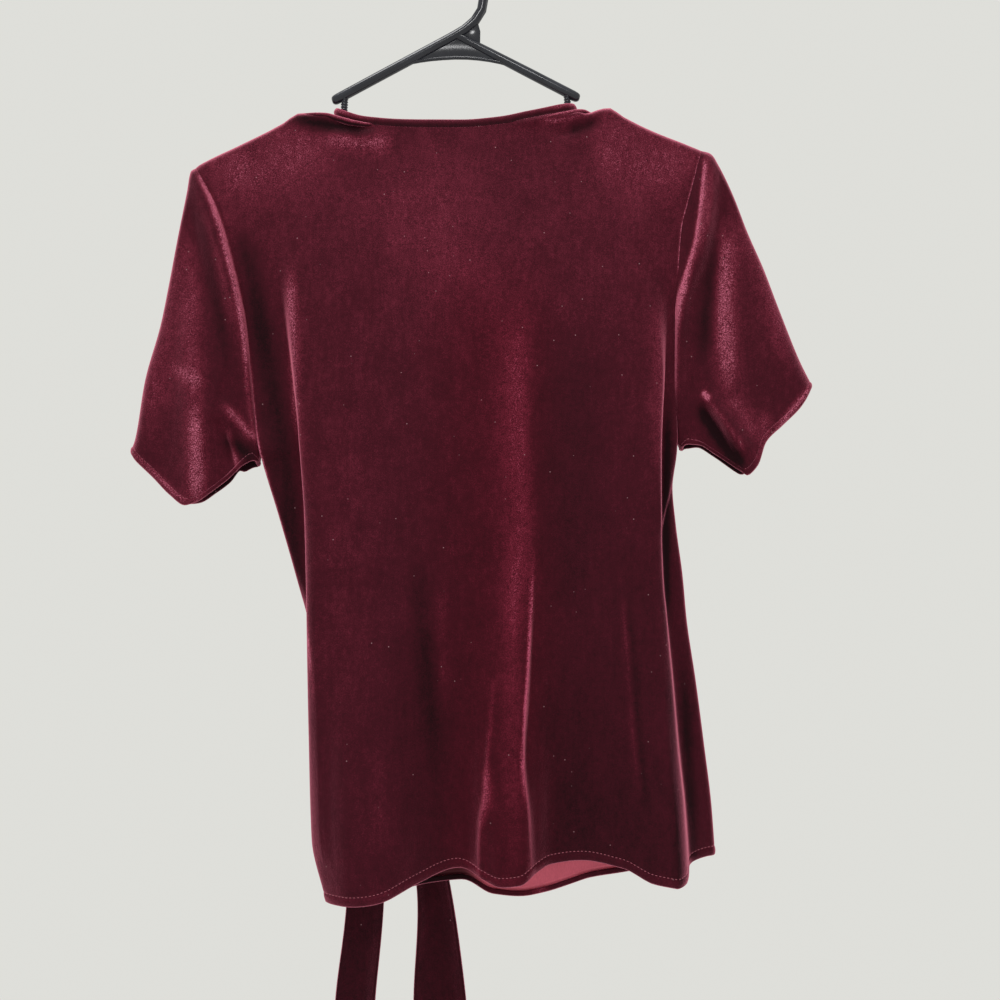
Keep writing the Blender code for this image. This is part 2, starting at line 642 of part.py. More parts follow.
def cloth(name, columns, rows, place, surface, wall=WALL, hem_rows=(), closed=False):
    """A wall of cloth: a grid whose points place(column, row) puts, made solid.

    In hem_rows the wall is as thick as the turned-up hem."""
    bm = bmesh.new()
    bmesh.ops.create_grid(bm, x_segments=columns, y_segments=rows, size=0.5)
    thick = bm.verts.layers.deform.verify()
    for vertex in bm.verts:
        column = round((vertex.co.x + 0.5) * columns)
        row = round((0.5 - vertex.co.y) * rows)
        if row in hem_rows:
            vertex[thick][0] = 1
        vertex.co = place(column, row) * MM
    if closed:
        bmesh.ops.remove_doubles(bm, verts=bm.verts, dist=0.00001)
    new = add_object(name, bm, surface)
    new.data.shade_smooth()
    solid = new.modifiers.new("Wall", "SOLIDIFY")
    solid.offset = 0
    solid.thickness = wall * MM
    if hem_rows:
        new.vertex_groups.new(name="Hem")
        solid.thickness = HEM_WALL * MM
        solid.vertex_group = "Hem"
        solid.thickness_vertex_group = wall / HEM_WALL
    return new


def smooth_route(rows, steps):
    """Points read from a smooth curve through the rows of a route."""
    ends = [tuple(2 * a - b for a, b in zip(rows[0], rows[1]))] + list(rows)
    ends.append(tuple(2 * a - b for a, b in zip(rows[-1], rows[-2])))
    return [spline(ends, i / steps) for i in range(steps + 1)]


def rod(name, route, surface):
    """A round rod along a route of (x, z, radius) in the plane Y = 0, closed at both
    ends."""
    bm = bmesh.new()
    rings = []
    for i, (x, z, radius) in enumerate(route):
        before = route[max(i - 1, 0)]
        after = route[min(i + 1, len(route) - 1)]
        along = Vector((after[0] - before[0], 0, after[1] - before[1])).normalized()
        across = along.cross(Vector((0, 1, 0)))
        ring = []
        for k in range(ROD_SIDES):
            turn = 2 * math.pi * (k + 0.5) / ROD_SIDES
            out = across * math.cos(turn) + Vector((0, 1, 0)) * math.sin(turn)
            ring.append(bm.verts.new((Vector((x, 0, z)) + out * radius) * MM))
        rings.append(ring)
    for near, far in zip(rings, rings[1:]):
        for k in range(ROD_SIDES):
            m = (k + 1) % ROD_SIDES
            bm.faces.new((near[k], near[m], far[m], far[k]))
    bm.faces.new(list(reversed(rings[0])))
    bm.faces.new(rings[-1])
    bmesh.ops.recalc_face_normals(bm, faces=bm.faces)
    return add_object(name, bm, surface)


def plate(name, outline, thickness, surface):
    """A flat plate in the plane Y = 0 with an outline of (x, z) points."""
    bm = bmesh.new()
    face = bm.faces.new([bm.verts.new(Vector((x, -thickness / 2, z)) * MM) for x, z in outline])
    raised = bmesh.ops.extrude_face_region(bm, geom=[face])
    moved = [item for item in raised["geom"] if isinstance(item, bmesh.types.BMVert)]
    bmesh.ops.translate(bm, verts=moved, vec=(0, thickness * MM, 0))
    bmesh.ops.recalc_face_normals(bm, faces=bm.faces)
    return add_object(name, bm, surface)


def fuse(base, others):
    """Join other solids to a base with Boolean unions, and hide them."""
    for other in others:
        union = base.modifiers.new(f"Join {other.name}", "BOOLEAN")
        union.operation = "UNION"
        union.object = other
        other.hide_render = True
        other.display_type = "WIRE"


# -------------------------------------------------------------------- hanger

HOOK_END = 172          # degrees round the hook where its free end stops
HOOK_START = -8
BEND_STEPS = 4
HOOK_STEPS = 14
LOWER_FRAME = Table("corner x z bend radius", (
    # from the left notch, under it, round the lower frame, to the right notch
    (1, -89, -100, 0, 2.4), (2, -90.5, -128, 6, 2.4), (3, -110, -129, 6, 3.0),
    (4, -121, -122.8, 10, 4), (5, -208, -166.6, 10, 4), (6, -199, -187.3, 10, 4),
    (7, 196, -180.9, 10, 4), (8, 207.5, -159.8, 10, 4), (9, 121, -120.3, 10, 4),
    (10, 110, -126, 6, 3.0), (11, 92.5, -125, 6, 2.4), (12, 90.5, -99, 0, 2.4)))
STEM = (
    # x, z of the rod's middle, from the left arm up into the hook
    (-98.3, -106.1), (-66, -88.7), (-33, -71), (0, -53.2), (8, -48.4), (16, -41.4),
    (21.6, -32.6))
WEB_EDGE = (
    # x, z along the web's concave lower edge
    (-56, -81.5), (-42, -76.4), (-28, -73.8), (-13, -71.8), (0, -71), (13, -71.4),
    (26, -72.8), (40, -75.6), (54, -80.4))
WEB_TOP = (0, -52.2)
GUSSET = ((3, -50), (18, -42), (20, -61), (6, -58))     # x, z beside the stem
RIGHT_ARM = ((1, -53, 3.0), (28, -66.9, 3.6), (99.3, -103.7, 4.0))      # x, z, radius
WEB_THICKNESS = 2.2
WEB_RIM = 1.5


def hook_route():
    """From the left arm's tip over the apex, then up and round the hook."""
    centre = (0, -HOOK_RADIUS + ARM_RADIUS)
    route = [(x, z, ARM_RADIUS) for x, z in STEM]
    for i in range(HOOK_STEPS + 1):
        turn = math.radians(mix(HOOK_START, HOOK_END, i / HOOK_STEPS))
        route.append((centre[0] + HOOK_RADIUS * math.cos(turn),
                      centre[1] + HOOK_RADIUS * math.sin(turn), ARM_RADIUS))
    end = math.radians(HOOK_END + 6)
    route.append((centre[0] + HOOK_RADIUS * math.cos(end),
                  centre[1] + HOOK_RADIUS * math.sin(end), ARM_RADIUS * 0.6))
    return route


def rounded_route(corners):
    """A route of (x, z, radius) along straight runs, with an arc at each corner."""
    route = []
    for i, (_, x, z, bend, radius) in enumerate(corners):
        here = Vector((x, z))
        if bend == 0:
            route.append((x, z, radius))
            continue
        back = (Vector(corners[i - 1][1:3]) - here).normalized()
        on = (Vector(corners[i + 1][1:3]) - here).normalized()
        half = back.angle(on) / 2
        centre = here + (back + on).normalized() * (bend / math.sin(half))
        start = here + back * (bend / math.tan(half)) - centre
        turn = (math.pi - 2 * half) * (1 if back.x * on.y - back.y * on.x < 0 else -1)
        for k in range(BEND_STEPS + 1):
            angle = turn * k / BEND_STEPS
            route.append((centre.x + start.x * math.cos(angle) - start.y * math.sin(angle),
                          centre.y + start.x * math.sin(angle) + start.y * math.cos(angle),
                          radius))
    return route


def build_hanger(plastic):
    hanger = rod("hanger", hook_route(), plastic)
    right_arm = rod("right_arm", RIGHT_ARM, plastic)
    frame = rod("lower_frame", rounded_route(LOWER_FRAME.rows), plastic)
    web = plate("web", [WEB_TOP, *WEB_EDGE], WEB_THICKNESS, plastic)
    gusset = plate("gusset", GUSSET, WEB_THICKNESS, plastic)
    rim = rod("web_rim", [(x, z, WEB_RIM) for x, z in WEB_EDGE], plastic)
    fuse(hanger, (right_arm, frame, web, gusset, rim))


# ---------------------------------------------------------------- ties, knot


def tie_point(points, column, row):
    """A point across a tie: the strip turns with its route, and its edges curl back."""
    x, y, z, width, curl = points[row]
    before = points[max(row - 1, 0)]
    after = points[min(row + 1, len(points) - 1)]
    along = Vector((after[0] - before[0], 0, after[2] - before[2])).normalized()
    across = Vector((along.z, 0, -along.x))
    place = 2 * column / TIE_COLUMNS - 1
    spot = Vector((x, y - curl * place**2, z)) + across * (place * width / 2)
    if spot.z > FRONT_HEM.at("z", spot.x) - 10:
        beneath = LAYER_GAP if spot.x < OVER_EDGE.at("x", spot.z) else 0
        spot.y = max(spot.y, front_y(spot.x, spot.z, depth_less=beneath) + TIE_CLEAR)
    return spot


def build_tie(name, route, steps, velvet):
    points = smooth_route(route, steps)
    cloth(name, TIE_COLUMNS, steps, lambda column, row: tie_point(points, column, row),
          velvet, wall=TIE_WALL)


def build_knot(velvet):
    """The knot: the wrapped tie, plump, with a crease between its two turns."""
    bm = bmesh.new()
    bmesh.ops.create_uvsphere(bm, u_segments=18, v_segments=12, radius=1)
    lean = math.radians(KNOT_LEAN)
    for vertex in bm.verts:
        spot = vertex.co.copy()
        across = spot.x * math.cos(lean) + spot.z * math.sin(lean)
        crease = 1 - KNOT_CREASE * math.exp(-((across - KNOT_CREASE_AT) / 0.2) ** 2)
        plump = 1 + 0.24 * abs(spot.x * spot.z)
        vertex.co = Vector([centre + size / 2 * value * plump for centre, size, value
                            in zip(KNOT_CENTRE, KNOT_SIZE, spot)]) * MM
        if spot.y > 0:
            vertex.co.y = (KNOT_CENTRE[1] + KNOT_SIZE[1] / 2 * spot.y * plump * crease) * MM
    add_object("tie_knot", bm, velvet).data.shade_smooth()


# --------------------------------------------------------------------- build


def build():
    clear_scene()
    velvet = material("velvet", (0.10, 0.012, 0.028), 0.85, sheen=0.8)
    plastic = material("plastic", (0.025, 0.026, 0.03), 0.3)
    hem_rows = (ROWS - 1, ROWS)

    columns = back_columns()
    cloth("back_panel", len(columns) - 1, ROWS,
          lambda column, row: back_point(columns[column], row), velvet, hem_rows=hem_rows)
    front_side = len(FRONT_SIDE_COLUMNS) - 1
    cloth("front_over", OVER_COLUMNS + front_side, ROWS, over_point, velvet, hem_rows=hem_rows)
    cloth("front_under", UNDER_COLUMNS + front_side, ROWS, under_point, velvet,
          hem_rows=hem_rows)

    ring = 2 * SLEEVE_LAST + 1
    cuff_rows = (len(SLEEVE_STEPS) - 2, len(SLEEVE_STEPS) - 1)
    for side, name in ((-1, "sleeve_left"), (1, "sleeve_right")):
        cloth(name, ring, len(SLEEVE_STEPS) - 1,
              lambda column, row, side=side: sleeve_column(side, column % ring, row),
              velvet, hem_rows=cuff_rows, closed=True)

    stations = neckband_stations()
    cloth("neckband", len(stations) - 1, BAND_ROWS,
          lambda column, row: band_point(stations[column], row),
          velvet, wall=BAND_WALL)

    build_tie("tie_over", TIE_OVER_ROUTE, 32, velvet)
    build_tie("tie_under", TIE_UNDER_ROUTE, 34, velvet)
    build_knot(velvet)
    build_hanger(plastic)


build()
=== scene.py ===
"""A burgundy velvet wrap top with short sleeves, hung on a tubular clothes hanger.

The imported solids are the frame. Every cloth piece is a thin shell on the form of its
solid, with its creases, hems, sewing and pile. Sizes are in millimetres until MM turns
them into metres. The back of the garment faces -Y, and +X is the wearer's right.
"""
import math

import bmesh
import bpy
from mathutils import Matrix, Vector, noise


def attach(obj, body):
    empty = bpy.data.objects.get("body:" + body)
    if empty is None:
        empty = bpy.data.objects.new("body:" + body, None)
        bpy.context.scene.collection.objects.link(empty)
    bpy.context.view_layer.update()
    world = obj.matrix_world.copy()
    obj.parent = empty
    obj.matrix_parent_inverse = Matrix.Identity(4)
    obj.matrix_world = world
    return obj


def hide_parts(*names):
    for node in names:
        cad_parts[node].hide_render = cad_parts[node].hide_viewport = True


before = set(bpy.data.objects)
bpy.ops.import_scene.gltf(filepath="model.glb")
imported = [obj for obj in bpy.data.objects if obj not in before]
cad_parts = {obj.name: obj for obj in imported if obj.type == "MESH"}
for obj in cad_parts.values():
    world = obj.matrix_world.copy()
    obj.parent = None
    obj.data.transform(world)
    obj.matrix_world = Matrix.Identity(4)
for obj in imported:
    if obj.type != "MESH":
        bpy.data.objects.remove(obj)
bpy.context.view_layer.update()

MM = 0.001


# ---------------------------------------------------------------- hanger
# An adult clothes hanger, moulded in one piece of black plastic: a tube bent into hook,
# arms and lower frame, with a thin web under the apex. Straps would go in the notches
# beside the ribbed links, where the arms' tips stick out past the frame.

ROD_RADIUS = 4.0
ROD_SIDES = 22
LINK_SIDES = 16
RIM_SIDES = 12
HOOK_RADIUS = 23.5
HOOK_SWEEP = (-8, 172)          # degrees from the stem round to the hook's free end
HOOK_STEPS = 44
HOOK_TIP = ((2.5, 3.9), (5, 3.4), (6.5, 2.6), (7, 1.4))     # degrees past that, radius
STEM = (
    # x, z, radius from the left arm's tip over the apex and up into the hook
    (-99.3, -106.6, 1.4), (-99, -106.5, 2.3), (-98.2, -106.1, 3.2), (-96.9, -105.4, 3.8),
    (-94, -103.8, 4), (-66, -88.7, 4), (-33, -71, 4),
    (-8, -57.6, 4), (0, -53.2, 4), (8, -48.4, 4), (16, -41.4, 4), (21.6, -32.6, 4))
RIGHT_ARM = (
    (1, -53, 3.0), (10, -57.6, 3.2), (28, -66.9, 3.6), (60, -83.4, 3.9), (96, -102, 4),
    (98.6, -103.3, 3.7), (99.8, -103.9, 3.1), (100.5, -104.3, 2.2), (100.8, -104.4, 1.3))
LOWER_FRAME = (
    # x, z, bend, radius from the left link round the lower frame to the right link
    (-89, -100, 0, 2.6), (-90.5, -128, 6, 2.6), (-110, -129, 6, 3.0), (-121, -122.8, 10, 4),
    (-208, -166.6, 10, 4), (-199, -187.3, 10, 4), (196, -180.9, 10, 4), (207.5, -159.8, 10, 4),
    (121, -120.3, 10, 4), (110, -126, 6, 3.0), (92.5, -125, 6, 2.6), (90.5, -99, 0, 2.6))
BEND_STEPS = 9
LINK_RADIUS = 2.7               # a run that is thinner and longer than this is a link
LINK_LENGTH = 15
RIB_PITCH = 2.1
RIB_RINGS = 4                   # rings of points to one rib
RIB_DEPTH = 0.45
RIBS_BETWEEN = (-115, -101)     # heights between which the links are ribbed
WEB_TOP = (0, -52.2)
WEB_EDGE = (
    (-56, -81.5), (-49, -78.7), (-42, -76.4), (-35, -74.9), (-28, -73.6), (-20, -72.5),
    (-10, -71.6), (0, -71.1), (10, -71.2), (19, -71.9), (28, -73.1), (37, -74.9),
    (46, -77.5), (54, -80.4))
GUSSET = ((3, -50), (11, -46.4), (18, -40.5), (20.6, -50), (20.4, -61.5), (6, -57))
WEB_THICKNESS = 2.2
WEB_RIM = 1.5
SOFT_EDGE = 0.5
SOFT_ANGLE = 50                 # degrees between faces from which an edge is softened
PLASTIC_COLOURS = ((0.009, 0.01, 0.016, 1), (0.016, 0.018, 0.027, 1))
WELD = 0.002                    # points closer than this are one


def patch(bm, columns, rows, place):
    """A grid of faces whose points place(column, row) puts."""
    made = bmesh.ops.create_grid(bm, x_segments=columns, y_segments=rows, size=0.5)["verts"]
    for vertex in made:
        column = round((vertex.co.x + 0.5) * columns)
        row = round((0.5 - vertex.co.y) * rows)
        vertex.co = place(column, row) * MM
    return made


def rod(bm, route, sides=ROD_SIDES):
    """A round rod along a route of (x, z, radius) in the plane Y = 0."""
    def place(k, i):
        x, z, radius = route[i]
        before, after = route[max(i - 1, 0)], route[min(i + 1, len(route) - 1)]
        along = Vector((after[0] - before[0], 0, after[1] - before[1])).normalized()
        turn = 2 * math.pi * (k % sides) / sides
        out = along.cross(Vector((0, 1, 0))) * math.cos(turn) + Vector((0, math.sin(turn), 0))
        return Vector((x, 0, z)) + out * radius

    patch(bm, sides, len(route) - 1, place)


def plate(bm, outline, thickness):
    """A flat plate about the plane Y = 0 with an outline of (x, z) points."""
    face = bm.faces.new([bm.verts.new(Vector((x, -thickness / 2, z)) * MM) for x, z in outline])
    raised = bmesh.ops.extrude_face_region(bm, geom=[face])
    moved = [item for item in raised["geom"] if isinstance(item, bmesh.types.BMVert)]
    bmesh.ops.translate(bm, verts=moved, vec=(0, thickness * MM, 0))


def welded(bm):
    """Joins the points that meet, closes the open ends and points the faces outwards."""
    bmesh.ops.remove_doubles(bm, verts=bm.verts, dist=WELD * MM)
    bmesh.ops.holes_fill(bm, edges=[edge for edge in bm.edges if edge.is_boundary], sides=0)
    bmesh.ops.recalc_face_normals(bm, faces=bm.faces)


def rounded(corners):
    """A route along straight runs of (x, z, bend, radius), with an arc at each corner."""
    route = []
    for i, (x, z, bend, radius) in enumerate(corners):
        here = Vector((x, z))
        if bend == 0:
            route.append((x, z, radius))
            continue
        back = (Vector(corners[i - 1][:2]) - here).normalized()
        on = (Vector(corners[i + 1][:2]) - here).normalized()
        half = back.angle(on) / 2
        centre = here + (back + on).normalized() * (bend / math.sin(half))
        start = here + back * (bend / math.tan(half)) - centre
        turn = (math.pi - 2 * half) * (1 if back.x * on.y - back.y * on.x < 0 else -1)
        for k in range(BEND_STEPS + 1):
            angle = turn * k / BEND_STEPS
            route.append((centre.x + start.x * math.cos(angle) - start.y * math.sin(angle),
                          centre.y + start.x * math.sin(angle) + start.y * math.cos(angle),
                          radius))
    return route


def ribbed(route):
    """The route with rings on the two links, where a strap's loop would slide."""
    ringed = []
    for start, end in zip(route, route[1:]):
        ringed.append(start)
        length = math.dist(start[:2], end[:2])
        is_link = start[2] < LINK_RADIUS and length > LINK_LENGTH
        steps = int(length / (RIB_PITCH / RIB_RINGS)) if is_link else 0
        for k in range(1, steps):
            x, z, radius = (a + (b - a) * k / steps for a, b in zip(start, end))
            rib = RIB_DEPTH * math.cos(2 * math.pi * z / RIB_PITCH)
            inside = RIBS_BETWEEN[0] < z < RIBS_BETWEEN[1]
            ringed.append((x, z, radius + (rib if inside else 0)))
    return ringed + [route[-1]]


class Finish:
    """A material: its shader, and one method that makes every other node."""

    def __init__(self, name):
        self.surface = bpy.data.materials.new(name)
        self.surface.use_nodes = True
        self.shader = self.surface.node_tree.nodes["Principled BSDF"]

    def set(self, **sockets):
        """Values or links for the shader's own sockets. Underscores stand for spaces."""
        for name, value in sockets.items():
            self.join(self.shader.inputs[name.replace("_", " ")], value)

    def node(self, kind, settings=(), sockets=(), output=0):
        """A node of a kind, with its settings first and then its values or links."""
        node = self.surface.node_tree.nodes.new(kind)
        for name, value in dict(settings).items():
            if name == "stops":
                ramp = node.color_ramp.elements
                while len(ramp) < len(value):
                    ramp.new(0.5)
                for stop, (place, colour) in zip(ramp, value):
                    stop.position, stop.color = place, colour
            else:
                setattr(node, name, value)
        for name, value in dict(sockets).items():
            self.join(node.inputs[name], value)
        return node.outputs[output]

    def join(self, socket, value):
        """Links a socket to another node's, or gives it a constant value."""
        if isinstance(value, Sum):
            value = value.socket
        if isinstance(value, bpy.types.NodeSocket):
            self.surface.node_tree.links.new(value, socket)
        else:
            socket.default_value = value

    def number(self, kind, settings=(), sockets=(), output=0):
        return Sum(self, self.node(kind, settings, sockets, output))

    def noise(self, size, where, detail=2.0, roughness=0.5):
        """Noise whose features are about this many millimetres across, from 0 to 1."""
        sockets = {"Vector": where, "Scale": 1 / (size * MM), "Detail": detail,
                   "Roughness": roughness}
        return self.number("ShaderNodeTexNoise", {}, sockets, "Fac")

    def place(self, scale=(1, 1, 1)):
        """Object coordinates, stretched along the axes."""
        spot = self.node("ShaderNodeTexCoord", {}, {}, "Object")
        return self.node("ShaderNodeMapping", {}, {"Vector": spot, "Scale": scale})

    def mixed(self, share, a, b):
        """Colour a where share is 0, b where it is 1."""
        return self.node("ShaderNodeMix", {"data_type": "RGBA"}, {0: share, 6: a, 7: b}, 2)

    def bumped(self, height, distance, strength=1.0, normal=None):
        sockets = {"Height": height, "Distance": distance * MM, "Strength": strength}
        if normal is not None:
            sockets["Normal"] = normal
        return self.node("ShaderNodeBump", {}, sockets)


class Sum:
    """A number in a material's nodes. Arithmetic on it adds Math nodes."""

    def __init__(self, finish, socket):
        self.finish, self.socket = finish, socket

    def maths(self, operation, *values):
        sockets = dict(enumerate(values))
        return self.finish.number("ShaderNodeMath", {"operation": operation}, sockets)

    def __add__(self, other):
        return self.maths("ADD", self, other)

    def __sub__(self, other):
        return self.maths("SUBTRACT", self, other)

    def __rsub__(self, other):
        return self.maths("SUBTRACT", other, self)

    def __mul__(self, other):
        return self.maths("MULTIPLY", self, other)

    def between(self, low, high):
        """0 below low and 1 above high, with a soft step between them."""
        settings = {"interpolation_type": "SMOOTHSTEP"}
        sockets = {"Value": self, "From Min": low, "From Max": high}
        return self.finish.number("ShaderNodeMapRange", settings, sockets)

    __radd__ = __add__
    __rmul__ = __mul__


plastic = Finish("black_plastic")
handled = plastic.noise(26, plastic.place(), detail=3).between(0.42, 0.7)
scuffed = plastic.noise(1.6, plastic.place((1, 1, 0.3)), detail=4).between(0.55, 0.8)
plastic.set(
    Base_Color=plastic.mixed(handled, *PLASTIC_COLOURS), IOR=1.5,
    Roughness=0.16 + 0.08 * handled + 0.12 * scuffed,
    Normal=plastic.bumped(plastic.noise(2.2, plastic.place(), detail=2), 0.06, 0.35))


def add_object(name, bm, surfaces):
    """An object at the origin, with its place in its mesh."""
    mesh = bpy.data.meshes.new(name)
    bm.to_mesh(mesh)
    bm.free()
    for surface in surfaces:
        mesh.materials.append(surface)
    mesh.shade_smooth()
    made = bpy.data.objects.new(name, mesh)
    bpy.context.collection.objects.link(made)
    return made


def add_piece(name, bm, surfaces, node=None):
    """A finished piece: it rides on the one body, and stands for its solid."""
    piece = add_object(name, bm, surfaces)
    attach(piece, "root")
    if node:
        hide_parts(node)
    return piece


def hook_point(degrees, radius):
    """A point of the hook's route, so many degrees round from its right-hand side."""
    turn = math.radians(degrees)
    centre = Vector((0, ROD_RADIUS - HOOK_RADIUS))
    return (*(centre + HOOK_RADIUS * Vector((math.cos(turn), math.sin(turn)))), radius)


sweep_from, sweep_to = HOOK_SWEEP
hook = [hook_point(sweep_from + (sweep_to - sweep_from) * i / HOOK_STEPS, ROD_RADIUS)
        for i in range(HOOK_STEPS + 1)]
hook += [hook_point(sweep_to + past, radius) for past, radius in HOOK_TIP]
bm = bmesh.new()
rod(bm, list(STEM) + hook)
rod(bm, RIGHT_ARM)
rod(bm, ribbed(rounded(LOWER_FRAME)), LINK_SIDES)
plate(bm, (WEB_TOP, *WEB_EDGE), WEB_THICKNESS)
plate(bm, GUSSET, WEB_THICKNESS)
rod(bm, [(x, z, WEB_RIM) for x, z in WEB_EDGE], RIM_SIDES)
welded(bm)
hanger = add_piece("hanger_moulding", bm, [plastic.surface], "hanger")
soft_edges = hanger.modifiers.new("Soft edges", "BEVEL")
soft_edges.width = SOFT_EDGE * MM
soft_edges.segments = 2
soft_edges.limit_method = "ANGLE"
soft_edges.angle_limit = math.radians(SOFT_ANGLE)


# ------------------------------------------------------------ back panel
# The back is cut in one from stretch velvet, with set-in armholes, and hangs over the
# hanger's arms. Its sides fold round towards the fronts, and its hem is turned up and
# stitched. The pile lies down the cloth; the wrong side is a plain matte knit.

LEFT, MIDDLE, RIGHT = -1, 0, 1  # the wearer's own left and right
WALL = 1.3                      # velvet, with its pile
SEAM_GAP = 0.3                  # between the pieces that a seam joins
BEND = 5.4                      # radius of the cloth over the hanger's arms
FOLD_BEND = 4.0                 # half the depth of the cloth at the side folds
FOLD_ROUND = 5.0                # width over which it turns there
RIDGE_GAP = 0.55                # from the shoulder seam to each panel
NECK_POINT = {LEFT: (-98.8, -118.2), RIGHT: (99.6, -115.8)}     # x, z at a shoulder seam
ARMPIT = {LEFT: -395, RIGHT: -386}
SIDE_HEM = {LEFT: -742, RIGHT: -719}
NEAR_TOP = -130                 # first guesses at the ends of a column
NEAR_HEM = -740
SETTLE_ROUNDS = 30              # rounds in which a column's top finds its edge
SETTLE_SHARE = 0.7              # share of the way that each round goes
HEM = 8.0                       # height of the turned-up hem
HEM_STITCH = 6.6                # height of its stitching
HEM_LAYER = 1.5                 # from the outer layer's middle to the turned-up one's
HEM_ROLL = 0.55                 # how far the hem rounds out below its stitching
HEM_PINCH = (-0.4, 0.9)         # how far the stitching pulls it in, and how high that is
HEM_ROWS = (8.0, 7.2, 6.6, 6.0, 5.0, 3.8, 2.6, 1.4, 0.6, 0)
BEND_ROWS = 7
CHEST_ROWS = 74
SKIRT_ROWS = 105
CREASE_REACH = 3                # widths from its line at which a crease ends
CREASE_ENDS = 3.5               # the greater, the shorter a crease's fading ends
RIDGE = "z x left right height"         # the columns of a ridge's table
RIPPLES = ((0.5, 26, 95), (0.25, 11, 38))       # height, width and length of unevenness


class Table:
    """Rows of named columns. Between rows, a column follows a smooth curve."""

    def __init__(self, columns, rows):
        ordered = sorted(rows)
        self.keys = [row[0] for row in ordered]
        self.values = {name: [row[i] for row in ordered] for i, name in enumerate(columns.split())}
        self.slopes = {name: self.slopes_of(values) for name, values in self.values.items()}

    def slopes_of(self, values):
        """The slope at each row, level where the column turns back."""
        spans = [(b - a) / (q - p) for a, b, p, q in
                 zip(values, values[1:], self.keys, self.keys[1:])]
        inner = [0 if a * b <= 0 else 2 * a * b / (a + b) for a, b in zip(spans, spans[1:])]
        return [spans[0], *inner, spans[-1]]

    def at(self, name, place):
        """The named column where the first column has the value place."""
        keys, values, slopes = self.keys, self.values[name], self.slopes[name]
        place = min(max(place, keys[0]), keys[-1])
        i = 0
        while i < len(keys) - 2 and place > keys[i + 1]:
            i += 1
        step = keys[i + 1] - keys[i]
        t = (place - keys[i]) / step
        return (values[i] * (2 * t**3 - 3 * t**2 + 1) + slopes[i] * step * (t**3 - 2 * t**2 + t)
                + values[i + 1] * (3 * t**2 - 2 * t**3) + slopes[i + 1] * step * (t**3 - t**2))


def ease(t):
    """0 to 1 with level ends."""
    t = min(max(t, 0), 1)
    return t * t * (3 - 2 * t)


def quarter_round(t):
    """0 to 1 as a quarter circle rises."""
    return math.sqrt(1 - (1 - min(max(t, 0), 1)) ** 2)


def mix(a, b, t):
    """a where t is 0, b where it is 1."""
    return a + (b - a) * t


def grown(feature, z):
    """How far a feature has grown at height z, from 0 to 1. It is the height where the
    feature begins, and the drop over which it grows."""
    start, over = feature
    return ease((start - z) / over)


# The top edge, along the hanger's arms and across the back neck.
SHOULDERS = Table("x z", (
    (-209.3, -161.2), (-205, -158.3), (-172.5, -142.6), (-139, -126.1), (-124, -117.2),
    (-106, -117.4), (-98.8, -118.2), (99.6, -115.8), (105, -117.4), (111, -116.6), (118, -113.8),
    (125, -113.2), (134.5, -119.5), (160, -131.9), (184, -141.3), (199, -147.4)))
BACK_NECK = Table("x z", (
    (-98.8, -118.2), (-88, -123.4), (-70, -127.8), (-26, -130.3), (7, -130.3), (32, -128.2),
    (56, -124.2), (81, -119.4), (99.6, -115.8)))

# Each side, from the shoulder down: the sewn edge, the valley beside it, and the edge of
# the long side fold.
SIDE_LINES = "z seam_x seam_y valley_x valley_y edge_x edge_y"
SIDES = {LEFT: Table(SIDE_LINES, (
    (-160, -209.3, -5.4, -186, -6.0, -152, -7),
    (-200, -188.5, -6.5, -158, -7.4, -136, -9),
    (-240, -177.0, -6.5, -147, -7.2, -130.5, -10.6),
    (-285, -168.0, -5.0, -138, -5.2, -129.8, -12),
    (-330, -164.2, -3.0, -131.2, -3.6, -127.1, -12),
    (-368, -160.8, -2.5, -127, -2.5, -124, -12),
    (-384, -158.4, -1.6, -126, -1.5, -123, -12),
    (-392, -156.8, -0.6, -125.3, -1.2, -122.4, -12),
    (-395, -156.2, 2.0, -125, -1.0, -122.2, -12),
    (-440, -143.2, 4.5, -121.8, 0.0, -119.3, -11),
    (-490, -129.4, 7.0, -119.6, 0.5, -118.2, -11),
    (-540, -117.0, 9.0, -116.6, 1.0, -117.5, -11),
    (-620, -108.0, 12.0, -112, 1.0, -116, -11),
    (-700, -102.0, 14.0, -108, 1.0, -113.5, -12),
    (-745, -98.0, 15.0, -98.6, 0.0, -101.5, -19))), RIGHT: Table(SIDE_LINES, (
    (-147, 199.0, -5.4, 175, -6.0, 150, -7),
    (-185, 189.0, -6.5, 172, -8.0, 152, -9),
    (-212, 182.4, -6.5, 171, -7.5, 156, -10),
    (-240, 180.2, -6.5, 172, -7.0, 156, -10),
    (-276, 177.7, -5.0, 172, -5.8, 160.5, -11),
    (-305, 177.6, -4.2, 170.5, -4.6, 164.5, -11.6),
    (-332, 177.6, -3.5, 169.4, -3.5, 166, -12),
    (-360, 178.6, -3.0, 168, -3.0, 165, -12),
    (-375, 179.2, -1.8, 167.5, -2.2, 164.4, -12.5),
    (-383, 179.4, -0.6, 167.3, -2.1, 164.3, -12.5),
    (-386, 179.5, 2.0, 167.2, -2.0, 164.2, -12.5),
    (-418, 176.0, 4.0, 167, -1.0, 164.2, -13),
    (-448, 178.8, 6.0, 167, -0.5, 164.4, -13),
    (-491, 184.8, 8.0, 168.5, 0.0, 165.5, -13),
    (-527, 188.3, 9.0, 172, 1.0, 168.8, -13),
    (-577, 196.0, 11.0, 177, 1.5, 173.2, -14),
    (-631, 203.2, 12.0, 182, 2.0, 177.5, -15),
    (-677, 209.0, 13.0, 187, 2.0, 182.4, -16),
    (-720, 212.4, 14.0, 190, 1.0, 184.8, -18)))}

